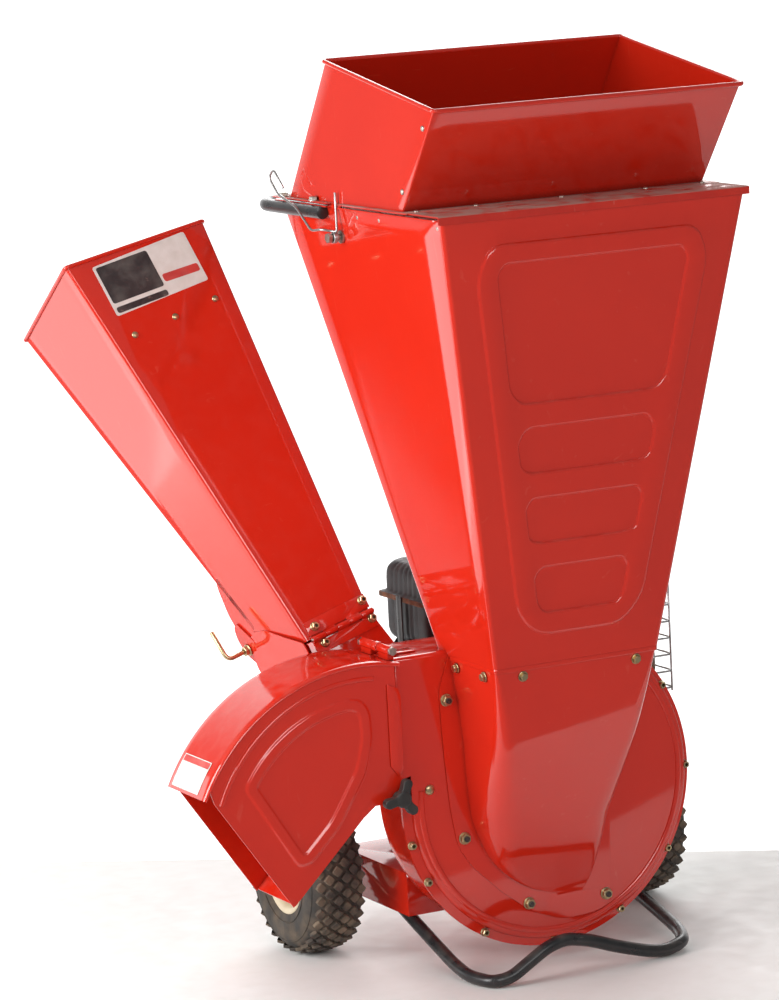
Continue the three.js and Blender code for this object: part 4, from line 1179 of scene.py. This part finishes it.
ears = Builder()
ear_outline = [(110, 60), (128, 150), (142, 135), (160, 92), (162, 64), (150, 50), (126, 50)]
ear_loop = rounded_outline(ear_outline, 10)
ears.slab(*[[(left_wall(z) + out, y, z) for y, z in ear_loop] for out in (0, 2)])
ears.made("chipper_chute_ear", RED, "chipper_chute", (), chute_frame)

flap = Builder()


def on_flap(u, v):
    """A point of the hanging curtain, which sags and narrows towards its free edge."""
    return ((-84 + 168 * u) * (1 - 0.16 * v), 3 + 108 * v, 480 - 108 * v - 7 * math.sin(math.pi * v))


flap.grid(on_flap, 10, 8)
flap.made("chute_flap_sheet", FLAP, "chipper_chute", ["chute_flap"], chute_frame, wall=2.4)

lower_chute = Builder()
port_rect = [(-205, 425), (-126, 425), (-126, 290), (-205, 290)]
top_corners = [(-CHUTE_HALF, 0), (CHUTE_HALF, 0), (CHUTE_HALF, CHUTE_DEPTH), (-CHUTE_HALF, CHUTE_DEPTH)]
throat = bmesh.new()
top_points = [chute_frame @ Vector((x, y, -1)) for x, y in top_corners]
port_points = [Vector((x, 110.4, z)) for x, z in port_rect]
hull_verts = [throat.verts.new(p) for p in top_points + port_points]
bmesh.ops.convex_hull(throat, input=hull_verts)
bmesh.ops.dissolve_limit(throat, angle_limit=0.02, verts=throat.verts, edges=throat.edges)
ends = [set(hull_verts[:4]), set(hull_verts[4:])]
open_faces = [f for f in throat.faces if any(set(f.verts) <= end for end in ends)]
bmesh.ops.delete(throat, geom=open_faces, context="FACES_ONLY")
throat.verts.index_update()
lower_chute.add([v.co.copy() for v in throat.verts], [[v.index for v in f.verts] for f in throat.faces])
throat.free()
lower_chute.made(
    "chipper_throat_walls", RED, "chassis", ["lower_chute"], wall=SHEET, edges=(1.6, 3, 20), crease=40,
)

bracket = Builder()
bracket_loop = rounded_outline([
    (104, -26), (104, 0), (122, 24), (150, 78), (163, 72), (172, 56), (173, 34), (162, 14), (142, 0),
    (112, -26),
], 8)
bracket.slab(*[[(left_wall(z) + out, y, z) for y, z in bracket_loop] for out in (-2.8, -0.4)])
cheek_loop = rounded_outline([
    (-1, -50), (-1, 2), (40, 22), (84, 46), (122, 54), (150, 42), (160, 4), (150, -30), (100, -55),
], 5)
bracket.slab(*[[(x, y, z) for y, z in cheek_loop] for x in (-62.8, -61)])
bracket.prism([(-59.3, -34), (-49.5, -34), (-49.5, -5), (-59.3, -5)], 86, 106)
bracket.made("lock_bracket", RED, "chassis", (), chute_frame)

refined("leaf_upper", RED, 0.5)
refined("leaf_lower", RED, 0.5)
refined("chute_hinge_pin", ZINC, 0.4, angle=34)

LEAF_FACE = -2.3
chute_bolts = Builder()
for x, z in ((-35, 16), (51, 19)):
    flange_nut(chute_bolts, (x, LEAF_FACE, z), TO_FRONT, 10)
for x in (-68, 2, 72):
    dome_head(chute_bolts, (x, -0.2, 497), TO_FRONT, 5, 2.4)
chute_bolts.made("chipper_chute_bolts", YELLOW_ZINC, "chipper_chute", (), chute_frame)
throat_bolts = Builder()
for x, z in ((-32, -11), (52, -10)):
    flange_nut(throat_bolts, (x, LEAF_FACE, z), TO_FRONT, 10)
throat_bolts.made("chipper_throat_bolts", YELLOW_ZINC, "chassis", (), chute_frame)

for name, look, low_x, high_x, low_z, high_z, proud in (
    ("chute_label_light", LABEL_WHITE, -79, 77, 531, 609, 0.4),
    ("chute_label_dark", LABEL_BLACK, -75, 10, 549, 606, 0.6),
    ("chute_label_strip", LABEL_BLACK, -75, 10, 534, 543, 0.6),
    ("chute_label_red", LABEL_RED, 14, 73, 548, 560, 0.6),
):
    label = Builder()
    corners = [(low_x, low_z), (high_x, low_z - 5), (high_x, high_z - 5), (low_x, high_z)]
    label.prism(rounded_outline(corners, 4), -proud, 0.1)
    label.made(name, look, "chipper_chute", (), chute_frame)

NUT_X = left_wall(LOCK[1]) - 4
lock = Builder()
lock.turned([(3.6, 0), (8.6, 0), (8.6, 1.2), (7.6, 2), (3.6, 2)], (NUT_X, *LOCK), TO_LEFT, 28)
lock.loops([
    [(NUT_X - rise, y, z) for y, z in circle(*LOCK, 7.4 * scale, 6)]
    for rise, scale in ((1.8, 1.0), (7, 1.0), (8, 0.88), (8, 0.56))
])
lock.made("lock_nut_hex", YELLOW_ZINC, "chassis", ["lock_nut"], chute_frame)
pin = Builder()
pin_path = rounded_path([(-48, *LOCK), (-101, *LOCK), (-101, LOCK[0] + 4, LOCK[1] + 46)], 11, 10)
tube(pin, pin_path, 3.3, 18, 0.6)
pin.made("lock_pin_rod", YELLOW_ZINC, "lock_pin_body", ["lock_pin"], chute_frame, crease=50)

# ------------------------------------------------------------------ nuts and bolts on the housing
COVER_FACE = -2.3
RIM_NUT_R = 226.6
nuts, nut_ends, plain = Builder(), Builder(), Builder()
for i, (x, z) in enumerate(((-138, 400), (-120, 199), (-22, 89), (104, 83))):
    flange_nut(nuts, (x, COVER_FACE, z), TO_FRONT, 13.5, 0.3 + i * 0.45)
    screw_end(nut_ends, (x, COVER_FACE, z), TO_FRONT, 4.2, 7.2, 2.4)
rim_bolts = (
    (-196, 200), (-174, 145), (-90, 59), (20.5, 28), (130, 56), (215, 130), (244, 250), (215, 372),
)
for i, (x, z) in enumerate(rim_bolts):
    direction = Vector((x - CRANK_X, 0, z - CRANK_Z)).normalized()
    spot = Vector((CRANK_X, 6, CRANK_Z)) + direction * RIM_NUT_R
    flange_nut(nuts, spot, TO_FRONT, 9.5, 0.2 + i * 0.6)
for x in (-85, 95):
    hex_bolt(plain, (x, -132.3, 447), (0, -1, -0.17), 10, 4.4, 7.4)
for y in (-20, -100):
    hex_bolt(plain, (-128.2, y, 447), (-1, 0, -0.1), 10, 4.4, 7.4)
dome_head(plain, (-170, 0, 276), TO_FRONT, 7.4, 3.4)
nuts.made("housing_nuts", YELLOW_ZINC, "chassis")
nut_ends.made("housing_screw_ends", THREAD, "chassis")
plain.made("cover_bolts", YELLOW_ZINC, "chassis")

# ------------------------------------------------------------------ stand, frame, axle and wheels
stand_points = [
    (-141, 215, 88), (-141, 118, 54), (-141, 6, 17), (-142, -40, 9.7), (-128, -84, 9.5), (-102, -88, 13),
    (-70, -88, 31), (-44, -88, 46), (-14, -88, 53.5), (24, -88, 46), (71, -88, 28), (122, -88, 13),
    (150, -87, 9.3), (186, -76, 14), (204, -36, 18), (209, 8, 26), (209, 118, 54), (209, 215, 88),
]
stand = Builder()
tube(stand, rounded_path(stand_points, 30, 7), 9.3, 24, 0.6)
stand.made("stand_tube", BLACK, "chassis", ["stand"], crease=50)
refined("engine_frame", RED, 1.4, 3, 40)
refined("axle", STEEL, 0.6, angle=50)

TYRE_BODY = [
    (55, 9), (60, 5.2), (67, 3.4), (76, 1.4), (85, 0.6), (93, 1.4), (100, 4.2), (106, 8.6), (110.5, 14.5),
    (112.6, 24), (113.4, 44), (112.6, 64), (110.5, 73.5), (106, 79.4), (100, 83.8), (93, 86.6), (85, 87.4),
    (76, 86.6), (67, 84.6), (60, 82.8), (55, 79), (53, 70), (60, 66), (60, 22), (53, 18),
]
RIM_BODY = [
    (6.8, 6), (15, 6), (16, 7), (16, 26), (19, 30), (30, 33), (42, 33.4), (46.6, 30), (47.6, 14), (49, 9.4),
    (52, 6.6), (56.6, 5.4), (58.2, 6.2), (58, 8.6), (54, 11), (52, 14), (50.4, 22), (50.4, 66), (52, 74),
    (54, 77), (58, 79.4), (58.2, 81.8), (56.6, 82.6), (52, 81.4), (49, 78.6), (47.6, 74), (46.6, 40),
    (42, 37), (30, 36.4), (19, 37), (16, 40), (16, 81), (15, 82), (6.8, 82),
]
CAP_BODY = [(6.6, 0.4), (8, 0), (11, 0.2), (12.6, 1.2), (13, 2.4), (13, 5.5), (6.6, 5.5)]
LUG_COUNT = 34
LUG_SIZE = 7.7
for side in ("left", "right"):
    face, sign = WHEEL_FACE[side]
    centre = (face, *WHEEL)
    body = "wheel_" + side
    tyre = Builder()
    tyre.turned(TYRE_BODY, centre, (sign, 0, 0), 96, closed=True)
    for radius in (70, 98):
        rings = []
        for k in range(9):
            b = 2 * math.pi * k / 8
            rings.append((radius + 1.1 * math.cos(b), 1.5 + 1.3 * math.sin(b) + (2 if radius == 98 else 1)))
        tyre.turned(rings, centre, (sign, 0, 0), 96)
    tyre.made("tyre_body_" + side, RUBBER, body, ["tyre_" + side], crease=50)
    lugs = Builder()

    def lug(angle, across, base, top, size):
        """One eight-sided tread block, waisted like a cross, tapering towards its top."""
        ring = []
        for radius, scale in ((base, 1.05), (top - 0.7, 1.0), (top, 0.88)):
            layer = []
            for k in range(8):
                b = math.pi * k / 4
                reach = size * scale * (0.82 if k % 2 else 1.0)
                a = angle + reach * math.sin(b) / radius
                layer.append(Vector(centre) + Vector((
                    sign * (across + reach * math.cos(b)), radius * math.cos(a), radius * math.sin(a),
                )))
            ring.append(layer)
        lugs.loops(ring)
        lugs.add(ring[-1], [tuple(range(8))])

    for row, (across, base, top) in enumerate((
        (12.5, 107.5, 112.6), (24.5, 112, 117), (37.5, 113.6, 118.9), (50.5, 113.6, 118.9), (63.5, 112, 117),
        (75.5, 107.5, 112.6),
    )):
        for i in range(LUG_COUNT):
            lug(2 * math.pi * (i + 0.5 * (row % 2)) / LUG_COUNT, across, base, top, LUG_SIZE)
    lugs.made("tyre_tread_" + side, TREAD, body, crease=30)
    rim = Builder()
    rim.turned(RIM_BODY, centre, (sign, 0, 0), 64, closed=True)
    rim.made("rim_disc_" + side, CREAM, body, ["rim_" + side], crease=40)
    cap = Builder()
    cap.turned(CAP_BODY, centre, (sign, 0, 0), 32, closed=True)
    cap.made("axle_cap_ring_" + side, STEEL, "chassis", ["axle_cap_" + side], crease=40)

# ------------------------------------------------------------------ engine
for node_name, look, bevel in (
    ("crankcase", CAST, 2.2), ("cylinder", CAST, 0.7), ("cylinder_head", CAST, 0.9),
    ("spark_plug", PLASTIC, 1.2), ("blower_housing", BLACK, 4), ("starter_cover", BLACK, 2.4),
    ("starter_handle", PLASTIC, 2), ("fuel_cap", PLASTIC, 1.6), ("tank_strap", BLACK, 0.4),
    ("carburettor", CAST, 1.4),
    ("air_cleaner", PLASTIC, 4), ("choke_lever", PLASTIC, 0.8), ("control_plate", STEEL, 0.4),
    ("throttle_lever", PLASTIC, 0.9), ("oil_cap", PLASTIC, 1.2), ("impeller", CAST, 0.5),
    ("chipper_blade_a", STEEL, 0.5), ("chipper_blade_b", STEEL, 0.5), ("shredder_blade", STEEL, 0.6),
    ("rotor_bolt", ZINC, 0.6), ("crankshaft", STEEL, 0.6), ("flywheel", CAST, 0.8),
):
    refined(node_name, look, bevel, angle=34)

tank_levels = [
    (430.5, -9), (433, -5.5), (437, -2.6), (441, -1), (447, 0), (470, 0), (489, 0), (491.6, 1.6), (493, 6.5),
    (494, 8), (499, 8), (500.4, 6.5), (502, 1.6), (504.5, 0), (520, 0), (530, -0.6), (536, -2), (541, -5),
    (545, -9), (547.4, -14), (548, -20),
]
TANK_SIDE_STEPS = 28
TANK_GROOVE = 1.1


def tank_ring(z, grow, radius=16):
    """The tank's rounded outline, with a shallow groove at every fourth step of each side."""
    ring = []
    cx, cy, hx, hy = 17.5, 262.5, 77.5 + grow, 67.5 + grow
    for qx, qy, start in ((1, 1, 0), (-1, 1, 90), (-1, -1, 180), (1, -1, 270)):
        corner = (cx + qx * (hx - radius), cy + qy * (hy - radius))
        ring += [(x, y, z) for x, y in arc_points(*corner, radius, start, start + 90, 6)]
        for i in range(1, TANK_SIDE_STEPS):
            along = 1 - 2 * i / TANK_SIDE_STEPS
            groove = TANK_GROOVE if i % 4 == 0 else 0
            if qx * qy > 0:
                ring.append((cx + qx * (hx - radius) * along, cy + qy * (hy - groove), z))
            else:
                ring.append((cx + qx * (hx - groove), cy + qy * (hy - radius) * along, z))
    return ring


tank = Builder()
tank_rings = [tank_ring(z, grow) for z, grow in tank_levels]
tank.loops(tank_rings)
tank.add(tank_rings[0], [tuple(range(len(tank_rings[0])))])
top_loop = [(x, y) for x, y, z in tank_rings[-1]]
neck = circle(36, 268, 17, 32)
tank.add(*filled(top_loop, [neck], lambda x, y: (x, y, 548)))
tank.loops([[(x, y, z) for x, y in neck] for z in (548, 531)])
tank.made("fuel_tank_shell", GREY, "chassis", ["fuel_tank"], crease=40)
seam = Builder()
seam.loops([tank_ring(z, grow) for z, grow in ((492.8, 7), (493.6, 8.9), (499.4, 8.9), (500.2, 7))])
seam.made("fuel_tank_seam", RUSTY, "chassis", crease=60)

muffler_box = Builder()
plan = [(212, 200), (200, 212), (200, 300), (212, 312), (316, 312), (328, 300), (328, 212), (316, 200)]
muffler_rings = []
muffler_levels = (
    (338, 12), (340, 5), (344, 1), (348, 0), (389, 0), (391, -2.4), (397, -2.4), (399, 0), (440, 0),
    (444, 1), (448, 5), (450, 12),
)
for z, inset in muffler_levels:
    muffler_rings.append([(x, y, z) for x, y in rounded_outline(shifted_outline(plan, inset), 9, 3)])
muffler_box.loops(muffler_rings)
muffler_box.add(muffler_rings[0], [tuple(range(len(muffler_rings[0])))])
muffler_box.add(muffler_rings[-1], [tuple(range(len(muffler_rings[-1])))])
muffler_box.turned([(13, 0), (13, 128), (11, 128), (11, 0)], (77.5, 220, 372), (1, 0, 0), 24, closed=True)
muffler_box.turned([(12, 0), (12, 19), (9.8, 19), (9.8, -8)], (264, 209, 394), TO_FRONT, 24)
muffler_box.made("muffler_shell", MUFFLER, "chassis", ["muffler"], crease=40)

guard = Builder()
for z in (322, 347, 372, 397, 422, 447, 472):
    corners = [(192, 182.6, z), (340.4, 182.6, z), (340.4, 329.4, z), (192, 329.4, z)]
    tube(guard, rounded_path(corners, 12, 6), 1.7, 8, 0.2)
for x, y in ((205, 185), (250, 185), (295, 185), (338, 185), (338, 256), (338, 327), (270, 327), (205, 327)):
    tube(guard, [(x, y, 317), (x, y, 477)], 1.6, 8, 0.2)
guard.made("muffler_guard_wires", STEEL, "chassis", ["muffler_guard"], crease=60)

engine_bolts = Builder()
for x in (-24, 65):
    for y in (152, 252):
        hex_bolt(engine_bolts, (x, y, 418), UP, 10, 6, 8)
for angle in range(22, 382, 60):
    a = math.radians(angle)
    hex_bolt(engine_bolts, (CRANK_X + 98 * math.cos(a), 348, CRANK_Z + 98 * math.sin(a)), (0, 1, 0), 8, 4, 7)
for x in (-47, 89):
    for y in (163, 275):
        hex_bolt(engine_bolts, (x, y, 160), UP, 11, 6, 9)
engine_bolts.made("engine_bolts", ZINC, "chassis")

# ------------------------------------------------------------------ floor, light, camera
FLOOR_FRONT = Vector((320, -500, 0))
FLOOR_FRONT_SLOPE = 0.3065
rear_left, rear_right = Vector((-402, 1057, 0)), Vector((609, 340, 0))
run = (rear_right - rear_left).normalized()
toward = Vector((run.y, -run.x, 0))
back_corners = [rear_left - run * 2600, rear_right + run * 2600]
front_corners = []
for corner in reversed(back_corners):
    front_y = FLOOR_FRONT.y - FLOOR_FRONT_SLOPE * (corner.x - FLOOR_FRONT.x)
    front_corners.append(Vector((corner.x, front_y, 0)))
# The front part is not mirrored by the glossy paint.
floor_parts = {
    "floor": back_corners + front_corners,
    "floor_front": front_corners[::-1] + [corner + toward * 5000 for corner in front_corners],
}
for name, outline in floor_parts.items():
    floor_mesh = bpy.data.meshes.new(name)
    floor_mesh.from_pydata([place(c) for c in outline], [], [(0, 1, 2, 3)])
    floor_mesh.materials.append(FLOOR)
    floor = bpy.data.objects.new(name, floor_mesh)
    bpy.context.scene.collection.objects.link(floor)
    floor.visible_glossy = name == "floor"

world = bpy.data.worlds.new("studio")
bpy.context.scene.world = world
world.use_nodes = True
tree = world.node_tree
tree.nodes.clear()
out = tree.nodes.new("ShaderNodeOutputWorld")
room = tree.nodes.new("ShaderNodeBackground")
room.inputs["Color"].default_value = (1, 1, 1, 1)
direction = tree.nodes.new("ShaderNodeTexCoord")
facing = tree.nodes.new("ShaderNodeVectorMath")
facing.operation = "DOT_PRODUCT"
facing.inputs[1].default_value = (0.45, 0.89, 0)
glow = tree.nodes.new("ShaderNodeMapRange")
glow.interpolation_type = "SMOOTHSTEP"
glow.inputs["From Min"].default_value = 0.6
glow.inputs["From Max"].default_value = 0.86
glow.inputs["To Min"].default_value = 0.24
glow.inputs["To Max"].default_value = 1.55
tree.links.new(direction.outputs["Generated"], facing.inputs[0])
tree.links.new(facing.outputs["Value"], glow.inputs["Value"])
tree.links.new(glow.outputs["Result"], room.inputs["Strength"])
tree.links.new(room.outputs[0], out.inputs["Surface"])


def softbox(name, position, target, width, height, power, colour=(1, 1, 1)):
    light = bpy.data.lights.new(name, "AREA")
    light.shape = "RECTANGLE"
    light.size = width
    light.size_y = height
    light.energy = power
    light.color = colour
    lamp = bpy.data.objects.new(name, light)
    lamp.location = place(position)
    lamp.rotation_euler = (place(target) - lamp.location).to_track_quat("-Z", "Y").to_euler()
    bpy.context.scene.collection.objects.link(lamp)


softbox("key", (-3200, 100, 1500), (0, 0, 650), 2.2, 2.0, 120)
softbox("front_fill", (-900, -4300, 2300), (0, 0, 600), 2.6, 1.6, 66)
softbox("card", (-1300, 1500, 400), (-1300, 0, 400), 0.8, 0.8, 3.4)
softbox("back", (1500, 2700, 2500), (0, 0, 0), 3.0, 2.4, 72)

LENS = 159.933
CAMERA_AT = (-2942.599, -5393.792, 1676.002)
YAW, PITCH, ROLL = (math.radians(a) for a in (26.87557, 9.2447, -2.99769))
forward = Vector((math.sin(YAW) * math.cos(PITCH), math.cos(YAW) * math.cos(PITCH), -math.sin(PITCH)))
level = Vector((math.cos(YAW), -math.sin(YAW), 0))
upright = level.cross(forward)
right_axis = level * math.cos(ROLL) + upright * math.sin(ROLL)
up_axis = upright * math.cos(ROLL) - level * math.sin(ROLL)
camera_data = bpy.data.cameras.new("camera")
camera_data.lens = LENS
camera_data.sensor_width = 36
camera = bpy.data.objects.new("camera", camera_data)
bpy.context.scene.collection.objects.link(camera)
turn = Matrix((right_axis, up_axis, -forward)).transposed().to_4x4()
camera.matrix_world = Matrix.Translation(place(CAMERA_AT)) @ turn
bpy.context.scene.camera = camera
bpy.context.scene.view_settings.view_transform = "Standard"
